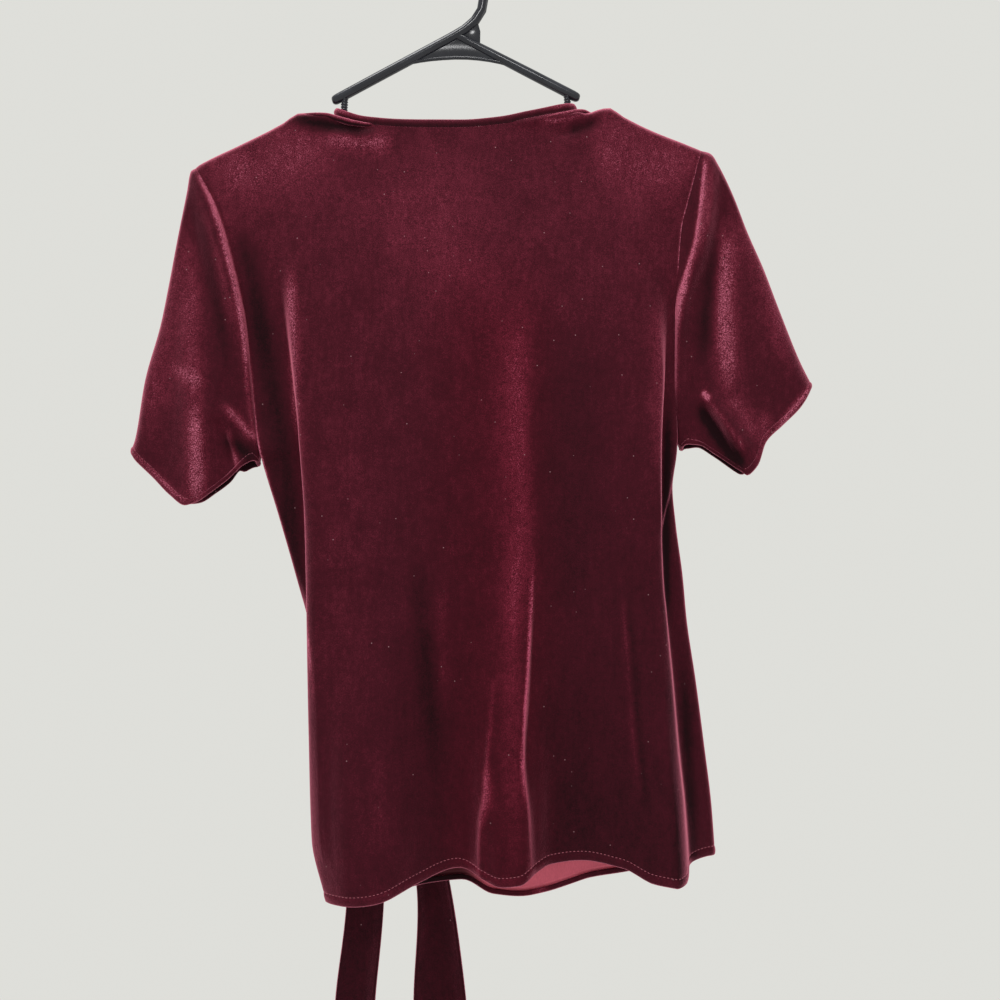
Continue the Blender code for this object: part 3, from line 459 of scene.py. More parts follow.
BACK_DEPTH = Table("z y", (
    (-150, -8), (-200, -10), (-260, -12), (-350, -14), (-450, -15.5), (-550, -16), (-740, -17)))
BACK_HEM = Table("x z y", (
    (-101, -747, -22), (-83, -747, -30), (-63, -745, -31), (-26, -732, -20), (8, -722.5, -12),
    (24, -729, -19), (38, -734, -25.5), (53, -732, -26), (66, -725, -19.5), (79, -719.5, -14),
    (107, -717, -11), (135, -721.5, -15), (158, -731.5, -26), (176, -734, -28)))
WAVES_FROM = -490               # height below which the hem's waves grow
SIDE_FOLDS = (34, 30)           # from this far above the armpit, and over this drop
SIDE_COLUMNS = 38
SIDE_CROWDING = 1.35            # the greater, the closer its columns stand to the seam
VALLEY_PLACE, EDGE_PLACE, PAST_PLACE = 0.42, 0.80, 1.25     # between the seam and the crest
CREST_IN = 9                    # from the fold's edge in to its crest
CREST_OUT = 14                  # from there to where the middle's form is met
SEWN_WIDTH = 0.1                # share of a side that is drawn to its seam
SEAM_DIP = 0.9                  # how deep a seam pulls the cloth in
SEAM_DIP_WIDTH = 1.7
SEAM_DIP_FROM = 9               # distance from the shoulder over which it grows
SHOULDER_COLUMNS = 8            # from a crest to the neck point
NECK_STEPS = (0.0015, 0.0125)   # from column to column, at the neck points and away from them
NECK_STEPS_GROW = 0.12          # distance from them over which the steps grow
CLOSE_COLUMNS = ((0.43, 0.52, 0.0042), (0.575, 0.66, 0.0034))   # where sharp ridges hang
NECK_ROUND = 14                 # from a neck point to where no arm bends the cloth
BACK_SEED = 3

# Creases of the back, each a curve through three points: how wide it is on its left and
# right, and how high it stands. A negative height is a valley.
BACK_CREASES = (
    # x_top, z_top, x_mid, z_mid, x_end, z_end, left, right, height
    (80, -470, 84, -600, 80, -790, 14, 30, -2.6),       # the hollow right of the long ridge
    (40, -560, 42, -680, 42, -790, 12, 12, -1.2),
    (-20, -520, -18, -640, -12, -790, 22, 22, -3.2),
    (-52, -470, -46, -640, -40, -790, 16, 22, 2.4),
    (-84, -560, -80, -680, -74, -790, 14, 18, 1.6),
    (118, -480, 124, -620, 126, -790, 20, 16, 2.6),
    (146, -520, 152, -640, 158, -790, 12, 16, -2.0),
    (62, -240, 60, -330, 66, -450, 26, 12, 1.8),        # the slack down the middle
    (30, -260, 34, -360, 40, -470, 18, 22, -1.4),
    (-30, -250, -26, -340, -24, -450, 24, 24, 1.3),
    (-74, -230, -66, -330, -60, -470, 22, 22, -1.5),
    (-98, -126, -128, -150, -150, -196, 9, 12, -1.6),   # drag lines off the shoulders
    (-120, -128, -140, -160, -148, -230, 10, 10, 1.4),
    (104, -124, 128, -150, 146, -200, 10, 9, -1.4),
    (128, -122, 146, -158, 152, -240, 9, 10, 1.5))
# Rolls and dents of slack cloth under the ends of the neckband.
NECK_CREASES = (
    (-124, -123.8, -97, -127.2, -62, -132, 9, 2.6, -1.7),
    (-104, -135, -84, -136, -56, -139, 6, 5, 1.8),
    (42, -128.5, 76, -123.6, 112, -117.2, 2.0, 4, 2.2),
    (74, -136, 98, -130, 122, -121.5, 5, 4, -2.4))

# Ridges whose line, widths and height change on the way down.
LONG_RIDGE = Table(RIDGE, (
    (-430, 70, 12, 8, 0), (-486, 62.4, 14, 4, 1.6), (-530, 59.4, 22, 2.4, 3.2),
    (-588, 56.2, 26, 2.0, 4.6), (-632, 53.2, 26, 2.2, 4.4), (-683, 57.4, 24, 2.8, 3.0),
    (-721, 59.3, 20, 3.4, 2.1), (-760, 60, 18, 4.0, 1.8)))
SHORT_RIDGE = Table(RIDGE, (
    (-560, 31.5, 4, 4, 0), (-604, 29, 2.8, 5, 0.7), (-638, 27, 2.4, 8, 1.4),
    (-664, 25.6, 2.4, 9, 1.8), (-683, 21.6, 1.8, 9, 2.1), (-708, 20.6, 2.0, 9, 2.1),
    (-760, 21, 2.6, 9, 1.8)))
UNDERARM_FLAP = Table(RIDGE, (
    (-378, 178, 6, 0.9, 0), (-395, 177.4, 8, 0.9, 2.6), (-419, 173.8, 7, 0.9, 3.4),
    (-440, 168.6, 4, 0.9, 3.0), (-456, 165.6, 2, 0.9, 0)))


def ridge(table, x, z, fullness=2):
    """How far a ridge lifts the cloth at x, z. The fuller it is, the flatter its top."""
    off = x - table.at("x", z)
    width = table.at("left" if off < 0 else "right", z)
    if abs(off) > CREASE_REACH * width:
        return 0
    return table.at("height", z) * math.exp(-abs(off / width) ** fullness)


def crease(creases, x, z):
    """How far the creases lift the cloth at x, z."""
    lift = 0
    for x0, z0, x1, z1, x2, z2, left, right, height in creases:
        run_x, run_z = x2 - x0, z2 - z0
        length = math.hypot(run_x, run_z)
        t = ((x - x0) * run_x + (z - z0) * run_z) / length**2
        if not 0 < t < 1:
            continue
        bow = ((z1 - z0) * run_x - (x1 - x0) * run_z) / length
        off = ((z - z0) * run_x - (x - x0) * run_z) / length - bow * 4 * t * (1 - t)
        width = left if off < 0 else right
        if abs(off) < CREASE_REACH * width:
            ends = ease(t * CREASE_ENDS) * ease((1 - t) * CREASE_ENDS)
            lift += height * math.exp(-(off / width) ** 2) * ends
    return lift


def ripple(x, z, seed):
    """Slight unevenness that runs down the cloth."""
    return sum(height * noise.noise((x / width, z / length, seed))
               for height, width, length in RIPPLES)


def top_z(x):
    """Height of the back's top edge: the shoulder seams, and the neck between them."""
    if NECK_POINT[LEFT][0] < x < NECK_POINT[RIGHT][0]:
        return BACK_NECK.at("z", x)
    return SHOULDERS.at("z", x)


def armpit_z(x):
    """Height of the line from one armpit to the other."""
    left, right = (SIDES[side].at("seam_x", ARMPIT[side]) for side in (LEFT, RIGHT))
    return mix(ARMPIT[LEFT], ARMPIT[RIGHT], min(max((x - left) / (right - left), 0), 1))


def side_fold(side, z):
    """0 where the sleeve is sewn on, 1 where the back folds round to the front."""
    above, over = SIDE_FOLDS
    return ease((ARMPIT[side] + above - z) / over)


def back_middle_y(x, z):
    """How far out the middle of the back hangs, with the waves that reach its hem."""
    waves = ease((WAVES_FROM - z) / (WAVES_FROM - BACK_HEM.at("z", x)))
    y = mix(BACK_DEPTH.at("y", z), BACK_HEM.at("y", x), waves)
    y -= ridge(LONG_RIDGE, x, z) + ridge(SHORT_RIDGE, x, z)
    return y - crease(BACK_CREASES, x, z) - crease(NECK_CREASES, x, z) - ripple(x, z, BACK_SEED)


def side_section(side, z):
    """x and y across one side of the back at height z, from the sewn edge in."""
    at = SIDES[side].at
    crest = at("edge_x", z) - side * CREST_IN
    past = crest - side * CREST_OUT
    return Table("place x y", (
        (0, at("seam_x", z), at("seam_y", z) - FOLD_BEND * side_fold(side, z)),
        (VALLEY_PLACE, at("valley_x", z), at("valley_y", z)),
        (EDGE_PLACE, at("edge_x", z), at("edge_y", z)),
        (1, crest, back_middle_y(crest, z)),
        (PAST_PLACE, past, back_middle_y(past, z))))


def side_point(side, place, z):
    """x and y of one column of a side at height z. Below the armhole the cloth turns
    round at the side seam."""
    section = side_section(side, z)
    x, y = section.at("x", place), section.at("y", place)
    if side == RIGHT:
        y -= ridge(UNDERARM_FLAP, x, z)
    inward = max((SIDES[side].at("seam_x", z) - x) * side, place * FOLD_ROUND * 2)
    turn = mix(1, quarter_round(inward / FOLD_ROUND), side_fold(side, z))
    return x, mix(SIDES[side].at("seam_y", z), y, turn)


def crests(z):
    """x of the two crests that the middle of the back lies between."""
    return [SIDES[side].at("edge_x", z) - side * CREST_IN for side in (LEFT, RIGHT)]


def neck_share(side):
    """Place of a neck point between the two crests, from 0 to 1."""
    x, z = NECK_POINT[side]
    left, right = crests(z)
    return (x - left) / (right - left)


def back_section(column, z):
    """x and y of one column of the back at height z. A column is its part of the back
    and its place there: from seam to crest on a side, from crest to crest between them."""
    part, place = column
    if part != MIDDLE:
        return side_point(part, place, z)
    x = mix(*crests(z), place)
    return x, back_middle_y(x, z)


def settled_top(x_at, edge_at):
    """x and z of a column's top, on the edge that it hangs from."""
    top = NEAR_TOP
    for _ in range(SETTLE_ROUNDS):
        x = x_at(top)
        top = mix(top, edge_at(x), SETTLE_SHARE)
    return x, top


def row_heights(top, armpit, hem):
    """Heights of a panel's rows: over the hanger's arm, to the armpit, to the hem."""
    bend = [top - BEND * (1 - math.cos(math.pi / 2 * k / BEND_ROWS)) for k in range(BEND_ROWS)]
    chest = [mix(top - BEND, armpit, k / CHEST_ROWS) for k in range(CHEST_ROWS)]
    skirt = [mix(armpit, hem + HEM, k / SKIRT_ROWS) for k in range(SKIRT_ROWS)]
    return bend + chest + skirt + [hem + above for above in HEM_ROWS]


def back_column(column):
    """One column of the back's middle surface, from its top edge down."""
    part, place = column
    top_x, top = settled_top(lambda z: back_section(column, z)[0], top_z)
    hem = BACK_HEM.at("z", back_section(column, NEAR_HEM)[0])
    if part != MIDDLE:
        hem = mix(SIDE_HEM[part], hem, ease(place))
    past_neck_point = min(top_x - NECK_POINT[LEFT][0], NECK_POINT[RIGHT][0] - top_x)
    points = []
    for row, z in enumerate(row_heights(top, armpit_z(top_x), hem)):
        x, y = back_section(column, z)
        y *= max(quarter_round((top - z) / BEND), quarter_round(past_neck_point / NECK_ROUND))
        if part != MIDDLE:
            seam_x, fold = SIDES[part].at("seam_x", z), side_fold(part, z)
            sewn_share = fold * ease(1 - place / SEWN_WIDTH)
            x = mix(x, seam_x, sewn_share)
            off = (x - seam_x) / SEAM_DIP_WIDTH
            dip = SEAM_DIP * math.exp(-off * off) * (1 - fold) * ease((top - z) / SEAM_DIP_FROM)
            y += dip - SEAM_GAP / 2 * sewn_share
        if row == 0:
            y = min(y, -RIDGE_GAP)
        points.append(Vector((x, y, z)))
    return points


def outward(grid, column, row, closed=False):
    """The way that a grid's right side faces at one of its points."""
    last = len(grid) - 1
    left = grid[column - 1 if column or closed else 0][row]
    right = grid[column + 1 if column < last else (0 if closed else last)][row]
    up = grid[column][max(row - 1, 0)]
    down = grid[column][min(row + 1, len(grid[column]) - 1)]
    return (right - left).cross(up - down).normalized()


def hemmed(grid, closed=False, turned_rows=len(HEM_ROWS)):
    """The grid with its hem rounded out below its stitching, and turned up inside by
    the last rows."""
    whole = []
    hem_rows = len(HEM_ROWS)
    for i, column in enumerate(grid):
        first = len(column) - hem_rows
        ways = [outward(grid, i, first + k, closed) for k in range(hem_rows)]
        outer = []
        for point, way, above in zip(column[first:], ways, HEM_ROWS):
            roll = HEM_ROLL * math.sin(math.pi * min(above / HEM_STITCH, 1))
            pinch = HEM_PINCH[0] * ease(1 - abs(above - HEM_STITCH) / HEM_PINCH[1])
            outer.append(point + way * (roll + pinch))
        down = (column[-1] - column[-2]).normalized()
        fold = [column[-1] + down * HEM_ROLL - ways[-1] * HEM_LAYER / 2]
        turned = [point - way * HEM_LAYER for point, way in zip(column[first:], ways)]
        whole.append(column[:first] + outer + fold + turned[:-turned_rows - 1:-1])
    return whole


def cloth(name, grid, node, lit_nap, closed=False, wall=WALL, lining=None):
    """A piece of cloth: a wall on a grid of points, with its wrong side inside. Its nap
    function says how far the pile is brushed up, above 0, or down at a point, with
    painted highlights and painted shade added in."""
    bm = bmesh.new()
    columns, rows = len(grid) - 1 + closed, len(grid[0]) - 1
    patch(bm, columns, rows, lambda column, row: grid[column % len(grid)][row])
    if closed:
        bmesh.ops.remove_doubles(bm, verts=bm.verts, dist=WELD * MM)
    nap_and_light_layer = bm.verts.layers.float.new("brushed")
    for vertex in bm.verts:
        vertex[nap_and_light_layer] = lit_nap(vertex.co / MM)
    piece = add_piece(name, bm, [velvet.surface, (lining or wrong_side).surface], node)
    solid = piece.modifiers.new("Wall", "SOLIDIFY")
    solid.thickness = wall * MM
    solid.offset = 0
    solid.material_offset = 1
    return piece


PILE_SHADE_TO_HIGHLIGHT = (
    # share of open pile, with painted light and shade in it, and its colour: painted shade
    #     # on pile lying down, half up, brushed up and lit, and a frosted painted highlight
    (0.0, (0.011, 0.0016, 0.0032, 1)), (0.40, (0.059, 0.0050, 0.0125, 1)),
    (0.70, (0.172, 0.019, 0.040, 1)), (1.0, (0.56, 0.15, 0.235, 1)))
RIM_SHEEN_COLOURS = ((0.24, 0.045, 0.08, 1), (0.50, 0.125, 0.19, 1))     # painted sheen seen along the tips
GRAZED_SHEEN = (0.72, 0.21, 0.30, 1)  # painted sheen where they stand quite across the view
DEEPER_RED = (1.0, 0.72, 0.82, 1)
DEEPER_ACROSS = (-50, 25, 52, 100)      # x where it begins, is full, begins to end, ends
DEEPER_UP = (-300, -200)                # z where it is full, and where it has ended
LINT = (0.60, 0.34, 0.38, 1)
LINT_APART = 11
KNIT_COLOURS = ((0.60, 0.10, 0.155, 1), (0.80, 0.17, 0.24, 1))
KNIT_SHADE = (0.07, 0.008, 0.014, 1)

velvet = Finish("burgundy_velvet")
long_way = velvet.place((1, 1, 0.16))
brushed = velvet.number("ShaderNodeAttribute", {"attribute_name": "brushed"}, {}, "Fac")
cloudy = velvet.noise(17, velvet.place((1, 1, 0.6)), detail=4, roughness=0.6) - 0.5
streaks = velvet.noise(3, long_way, detail=3, roughness=0.6) - 0.5
mottled = velvet.noise(4.5, velvet.place(), detail=2, roughness=0.6) - 0.5
grain = velvet.noise(0.75, velvet.place(), detail=2, roughness=0.8)
crushed = velvet.bumped(velvet.noise(9, long_way, detail=3), 1.0, 0.3)
# An even nap, and then how much the painted highlights and painted shade, partly the
# # nap's own bands, and the unevenness of the pile add.
lit_nap = 0.365 + 0.5 * brushed + 0.24 * cloudy + 0.14 * streaks + 0.22 * mottled
# The grain shows more in the painted highlights.
speckled = lit_nap + (grain - 0.5) * (0.65 + 2.0 * brushed.between(0, 0.8))
pile = velvet.node("ShaderNodeValToRGB", {"stops": PILE_SHADE_TO_HIGHLIGHT}, {"Fac": speckled})

# Down the middle of the back the cloth is a deeper red.
spot = {"Vector": velvet.place()}
across = velvet.number("ShaderNodeSeparateXYZ", {}, spot, "X")
up = velvet.number("ShaderNodeSeparateXYZ", {}, spot, "Z")
begin, full, to_end, end = (x * MM for x in DEEPER_ACROSS)
middle = across.between(begin, full) - across.between(to_end, end)
deeper = middle * (1 - up.between(*(z * MM for z in DEEPER_UP)))
pile = velvet.node("ShaderNodeMix", {"data_type": "RGBA", "blend_type": "MULTIPLY"},
                   {0: deeper, 6: pile, 7: DEEPER_RED}, 2)

# Where the cloth turns away from the view, a painted sheen lightens its colour, as light
# # runs along the tips of the pile.
piled = velvet.bumped(grain, 0.5, 0.8, crushed)
turned = velvet.number("ShaderNodeLayerWeight", {}, {"Blend": 0.5, "Normal": piled}, "Facing")
rim = velvet.mixed(speckled.between(-0.1, 0.6), *RIM_SHEEN_COLOURS)
covered = velvet.mixed(turned.between(0.27, 0.82), pile,
                       velvet.mixed(turned.between(0.8, 1.0), rim, GRAZED_SHEEN))
fleck = velvet.number("ShaderNodeTexVoronoi", {}, {"Vector": velvet.place(),
                                                   "Scale": 1 / (LINT_APART * MM)}, "Distance")
lint = 1 - fleck.between(0.02, 0.055)
velvet.set(
    Base_Color=velvet.mixed(lint * 0.5, covered, LINT), Roughness=0.78 + 0.14 * grain,
    Normal=velvet.bumped(grain, 0.28, 0.5, crushed), Specular_IOR_Level=0.1,
    Sheen_Weight=0.6, Sheen_Roughness=0.22, Sheen_Tint=(1.0, 0.32, 0.44, 1))

wrong_side = Finish("velvet_wrong_side")
knit = wrong_side.noise(0.9, wrong_side.place((1, 1, 0.4)), detail=2)
shaded = wrong_side.number("ShaderNodeAttribute", {"attribute_name": "brushed"}, {}, "Fac")
plain = wrong_side.mixed(knit, *KNIT_COLOURS)
wrong_side.set(
    Base_Color=wrong_side.mixed(shaded.between(-0.9, 0), KNIT_SHADE, plain),
    Normal=wrong_side.bumped(knit, 0.15, 0.5), Roughness=0.85, Specular_IOR_Level=0.15,
    Sheen_Weight=0.3, Sheen_Roughness=0.5)

# Painted highlights where the folds catch the light, and painted shade in recesses, dents
# # and on the dark sides of ridges, partly the nap of the pile.
BACK_LIGHT_AND_NAP = (
    # x_top, z_top, x_mid, z_mid, x_end, z_end, left, right, share
    (50, -240, 53, -390, 60, -560, 20, 10, 0.4),            # painted highlight down the middle
    (50, -440, 47, -590, 50, -740, 14, 8, 0.3),
    (-90, -300, -88, -430, -86, -640, 30, 34, 0.13),        # the lighter left half
    (-28, -460, -23, -560, -11, -660, 8, 7, -0.34),
    (-13, -480, -10, -540, -8, -610, 4, 6, 0.22),
    (-62, -620, -60, -660, -58, -720, 6, 8, 0.16),
    (64, -123.4, 84, -124.6, 108, -118.4, 1.6, 1.2, 0.45),  # the fold under the neck
    (100, -260, 96, -380, 96, -560, 34, 26, -0.2),
    (60, -690, 120, -690, 190, -700, 60, 50, -0.14),
    (-104, -139, -78, -137, -44, -141, 8, 5, 0.24),
    (172, -540, 178.5, -660, 182.5, -780, 4.5, 2.2, -1.0),  # painted shade beside the right fold's crest
    (-132, -226, -130, -300, -127, -395, 3.5, 6, 0.62),     # painted highlight on the soft top of the left fold
    (-127, -330, -121, -460, -118, -620, 1.2, 4, 0.4),
    (166, -250, 167, -310, 166.5, -430, 10, 1.5, 0.36),
    (-70, -150, -30, -190, 20, -300, 50, 50, 0.16),
    (-112, -136, -84, -140, -46, -144, 9, 7, 0.3),
    (-214, -166, -160, -166, -90, -128, 30, 40, 0.26),      # painted highlight on the shoulders, lit from above
    (100, -128, 150, -162, 206, -160, 30, 40, 0.24),
    (131, -470, 139.5, -590, 149, -712, 2.2, 2.2, 0.45),
    (136, -490, 144, -600, 153, -712, 2.4, 3, -0.35),
    (-172, -200, -147, -320, -124, -600, 14, 8, -0.52),     # painted shade in the recesses at the sides
    (-178, -200, -164, -250, -156, -330, 5, 8, -0.35),
    (173, -330, 171, -420, 171, -560, 3.5, 4, -0.9),
    (184, -540, 189, -640, 194, -760, 5, 6, -0.6),
    (-142, -119, -99, -128, -56, -137, 5.5, 3.4, -1.1),     # painted shade in the dents at the neck
    (88, -134, 101, -130, 118, -122, 4.5, 3.5, -0.65),
    (86, -520, 86, -660, 86, -800, 20, 36, -0.26),          # painted shade on the dark side of the long ridge
    (-20, -500, -20, -640, -18, -800, 22, 22, -0.16),
    (140, -420, 144, -560, 148, -800, 22, 20, -0.14))

# Painted highlights along sharp crests: the long ridge, the short one, and the edges
# # of the right and the left side fold. Height is the highlight's share of open pile.
CREST_HIGHLIGHTS = (
    Table(RIDGE, (
        (-465, 64, 3, 1, 0), (-510, 61.8, 2.4, 0.8, 0.6), (-550, 59.4, 1.5, 0.7, 1.3),
        (-632, 54.8, 1.2, 0.7, 1.2), (-683, 59.4, 1.1, 0.7, 0.6), (-721, 60.8, 1.1, 0.7, 0.4),
        (-745, 61, 1.1, 0.7, 0.2))),
    Table(RIDGE, (
        (-565, 31.5, 2, 2, 0), (-600, 29.6, 1.6, 1.6, 0.3), (-635, 26.6, 1.4, 2, 0.4),
        (-650, 25.6, 2.5, 4, 0.65), (-668, 24.4, 2.5, 5, 0.65), (-683, 20.8, 0.7, 4, 0.6),
        (-692, 20.4, 0.7, 1.2, 0.6), (-708, 20, 0.7, 1, 0.5), (-740, 20.4, 0.7, 0.9, 0.3))),
    Table(RIDGE, (
        (-146, 199.4, 1, 1, 0), (-156, 196.6, 1.2, 1, 0.7), (-185, 189, 1.2, 1, 0.9),
        (-212, 182.6, 1.2, 1, 1.0), (-238, 180.4, 1.2, 1, 1.0), (-250, 179.8, 1, 1, 0),
        (-392, 178.8, 1, 1, 0), (-418, 176, 1, 1, 0.6), (-448, 178.8, 1, 1, 0.7),
        (-491, 184.8, 1, 1, 0.7), (-527, 188.3, 1, 1, 0.7), (-577, 196, 1, 1, 0.7),
        (-631, 203.2, 1, 1, 0.7), (-677, 209, 1, 1, 0.7), (-720, 212.4, 1, 1, 0.7))),
    Table(RIDGE, (
        (-290, -167.6, 1, 1, 0), (-330, -164.2, 1, 1.2, 0.8), (-368, -160.8, 1, 1.2, 1.1),
        (-395, -156, 1.4, 1.4, 1.2), (-440, -143.2, 1.4, 1.4, 1.2),
        (-490, -129.4, 1.4, 1.4, 1.2), (-540, -117, 1.4, 1.4, 1.0), (-600, -110, 1.2, 1.2, 0))))
PAINTED_LIGHT_FALLS, FALL = (0.14, -0.06), (-130, 400)    # painted light: lighter at the shoulders, darker at the hem
FAR_SHADE, FAR_SHADE_GROWS = 0.9, (-545, 50)    # on the far side of the left fold
HEM_HIGHLIGHT, HEM_HIGHLIGHT_OVER = 0.16, 2   # painted highlight along the hem's edge, over this height


def back_light_and_nap(spot):
    """The nap of the back with painted light: lighter at the shoulders, painted highlights
    and shade in bands, painted highlights on the crests, painted shade on the far side
    of the left fold, and a painted highlight along the hem.
    """
    x, y, z = spot
    lit = mix(*PAINTED_LIGHT_FALLS, grown(FALL, z)) + crease(BACK_LIGHT_AND_NAP, x, z)
    lit += sum(ridge(line, x, z) for line in CREST_HIGHLIGHTS)
    if x < 0 and y > 3:
        lit -= FAR_SHADE * grown(FAR_SHADE_GROWS, z)
    return lit + HEM_HIGHLIGHT * grown((BACK_HEM.at("z", x) + HEM_STITCH, HEM_HIGHLIGHT_OVER), z)


left, right = neck_share(LEFT), neck_share(RIGHT)
neck = []
share = left
while share < right - NECK_STEPS[0] / 2:
    neck.append(share)
    step = mix(*NECK_STEPS, ease(min(share - left, right - share) / NECK_STEPS_GROW))
    share += min([step] + [fine for start, end, fine in CLOSE_COLUMNS if start < share < end])
side_places = [(i / SIDE_COLUMNS) ** SIDE_CROWDING for i in range(SIDE_COLUMNS + 1)]
shoulder_steps = [i / SHOULDER_COLUMNS for i in range(SHOULDER_COLUMNS)]
back_columns = [(LEFT, place) for place in side_places[:-1]]
back_columns += [(MIDDLE, left * step) for step in shoulder_steps]
neck_from = len(back_columns)
back_columns += [(MIDDLE, share) for share in neck]
neck_to = len(back_columns)
back_columns += [(MIDDLE, mix(right, 1, step)) for step in shoulder_steps]
back_columns += [(RIGHT, place) for place in reversed(side_places)]
back_grid = [back_column(column) for column in back_columns]
back = cloth("back_velvet", hemmed(back_grid), "back_panel", back_light_and_nap)


# ---------------------------------------------------------------- fronts
# Two fronts that cross: the wearer's right one lies on top and comes to a point at the
# left waist, where its tie pulls soft folds out of it. The left one runs beneath it to
# the right side seam. Both hems are turned up as the back's is.

BAND_ENDS = -496                # height where the neckband ends on each front
LAYER_GAP = 4.6                 # from the middle of one front to the middle of the other
WAIST = -522                    # height where the ties are sewn on
UNDER_INSET = 2.8               # from the right side seam to the edge of front_under
UNDER_FAN = 0.6                 # share of the tie's folds that it takes on
FRONT_ROUND = 26                # width over which a front rounds in to its sewn edges
FRONT_BULGE = 0.35              # share of a fuller turn that it has beside the side seams
FRONT_BULGE_WIDTH = 6
FRONT_WAVES = (-560, 180)       # height from which the hem's waves grow, and over what
LAYERS_PART = (-190, 90)        # where front_under sinks beneath front_over
INSET_GROWS = (-420, 60)
# How far a front's side columns are from its sewn edge.
FRONT_SIDE = (0, 0.15, 0.6, 1.3, 2.4, 3.8, 5.6, 7.8, 10.5, 13.5, 17, 21, 25.5, 30)
FRONT_SIDE_ROOM = 66            # a front narrower than this crowds its side columns
FRONT_COLUMNS = {LEFT: 76, RIGHT: 62}
FRONT_TURNED = 5                # rows of the fronts' hems that are turned up
FRONT_RIPPLE = (0.7, 11)        # share of the cloth's unevenness, and its seed

FRONT_DEPTH = Table("z y", (
    (-150, 5.4), (-200, 9), (-260, 14), (-350, 19), (-450, 22), (-550, 24), (-760, 25)))
FRONT_ARMHOLE = Table("z y", (
    (-147, 5.4), (-200, 6.5), (-260, 8), (-330, 8), (-368, 7), (-384, 5.8), (-392, 4.8),
    (-395, 2.3)))
FRONT_HEM = Table("x z y", (
    (-98, -743, 0), (-80, -757, 4), (-50, -752, 1), (-25, -744, -4), (5, -741, -3), (30, -755, 3),
    (53, -757.5, 4), (74, -753.5, 3), (95, -745, -2), (111, -739.5, -3), (130, -736, -4),
    (165, -732, 2), (195, -722, 1), (212, -719, 0)))
OVER_EDGE = Table("z x", (
    (-115.8, 99.6), (-181, 72), (-255, 37), (-318, -1), (-388, -30), (-455, -44), (-500, -46),
    (-545, -46), (-640, -56), (-766, -76)))
UNDER_EDGE = Table("z x", (
    (-118.2, -98.8), (-190, -72), (-262, -38), (-322, 0), (-385, 50), (-445, 112), (-485, 164),
    (-497, 181)))
TIE_FOLDS = (
    # angle, length, height of the folds that fan out from the tie
    (62, 150, 2.2), (34, 230, 2.8), (8, 200, 2.4), (-20, 170, 2.2), (-48, 150, 2.0))
GATHERS = (
    # angle, length, height of the small pleats between them, close to the tie
    (76, 60, 0.9), (48, 84, 1.1), (21, 96, 1.2), (-6, 88, 1.1), (-34, 76, 1.0), (-64, 60, 0.9))
FAN_WIDTH, GATHER_WIDTH = 9, 4.5        # half their spread, in degrees
FAN_BACK = 6                    # how far left of the edge their lines would meet
FAN_GROWS = 4.4                 # distance for each degree of width over which they rise
OVER_CREASES = (
    # x_top, z_top, x_mid, z_mid, x_end, z_end, left, right, height
    (118, -128, 100, -210, 84, -330, 12, 12, 1.5),      # drag lines from the shoulder
    (146, -140, 132, -230, 120, -350, 10, 14, 1.2),
    (168, -300, 150, -372, 118, -420, 8, 12, 1.6),      # slack under the arm
    (176, -392, 150, -430, 110, -455, 7, 9, 1.4),
    (60, -600, 66, -690, 70, -800, 16, 10, 2.6),        # hem waves
    (112, -580, 122, -690, 126, -800, 12, 18, 2.0),
    (8, -620, 2, -700, -4, -800, 12, 14, 2.2),
    (172, -540, 184, -660, 190, -800, 9, 8, 1.8))
UNDER_CREASES = (
    (-120, -128, -104, -210, -90, -320, 12, 12, 1.5),
    (-150, -146, -138, -230, -126, -340, 12, 10, 1.2),
    (-156, -320, -130, -370, -98, -404, 10, 8, 1.6),
    (-146, -400, -120, -436, -86, -458, 8, 7, 1.3),
    (-104, -524, -84, -500, -40, -470, 7, 7, 1.4),      # pulled towards the tie
    (-104, -530, -86, -560, -60, -600, 7, 8, 1.4),
    (-88, -600, -90, -690, -88, -800, 7, 9, 1.8))


def sewn_edge(side, z):
    """x and y of a front's sewn edge: its armhole, then its side seam."""
    at = SIDES[side].at
    if z >= ARMPIT[side]:
        return at("seam_x", z), FRONT_ARMHOLE.at("y", z * ARMPIT[LEFT] / ARMPIT[side])
    return at("seam_x", z), at("seam_y", z) + SEAM_GAP / 2


def fan_lift(folds, width, x, z):
    """How far the folds that fan out from the tie stand up at x, z."""
    east = x - OVER_EDGE.at("x", WAIST)
    away = math.hypot(east, z - WAIST)
    turn = math.degrees(math.atan2(z - WAIST, east + FAN_BACK))
    return sum(rise * ease(1 - abs(turn - angle) / width) * ease(away / (width * FAN_GROWS))
               * ease((length - away) / length) for angle, length, rise in folds)


def front_y(x, z, inset=0.0, depth_less=0.0, fan=1.0, creases=()):
    """How far out a front hangs, rounding in to its sewn edges."""
    ripples, seed = FRONT_RIPPLE
    depth = FRONT_DEPTH.at("y", z) + fan * fan_lift(TIE_FOLDS, FAN_WIDTH, x, z)
    depth += FRONT_HEM.at("y", x) * grown(FRONT_WAVES, z)
    depth -= depth_less * grown(LAYERS_PART, z)
    depth += crease(creases, x, z) + ripples * ripple(x, z, seed)
    if fan == 1:                        # on the front that carries the tie
        depth += fan_lift(GATHERS, GATHER_WIDTH, x, z)
    y = depth
    for side in (LEFT, RIGHT):
        edge_x, edge_y = sewn_edge(side, z)
        if side == RIGHT:
            edge_x -= inset * grown(INSET_GROWS, z)
        inward = (edge_x - x) * side
        soft = 1 - (1 - min(max(inward / FRONT_ROUND, 0), 1)) ** 2
        full = quarter_round(inward / FRONT_BULGE_WIDTH)
        y = min(y, mix(edge_y, depth, mix(soft, full, FRONT_BULGE * side_fold(side, z))))
    return y


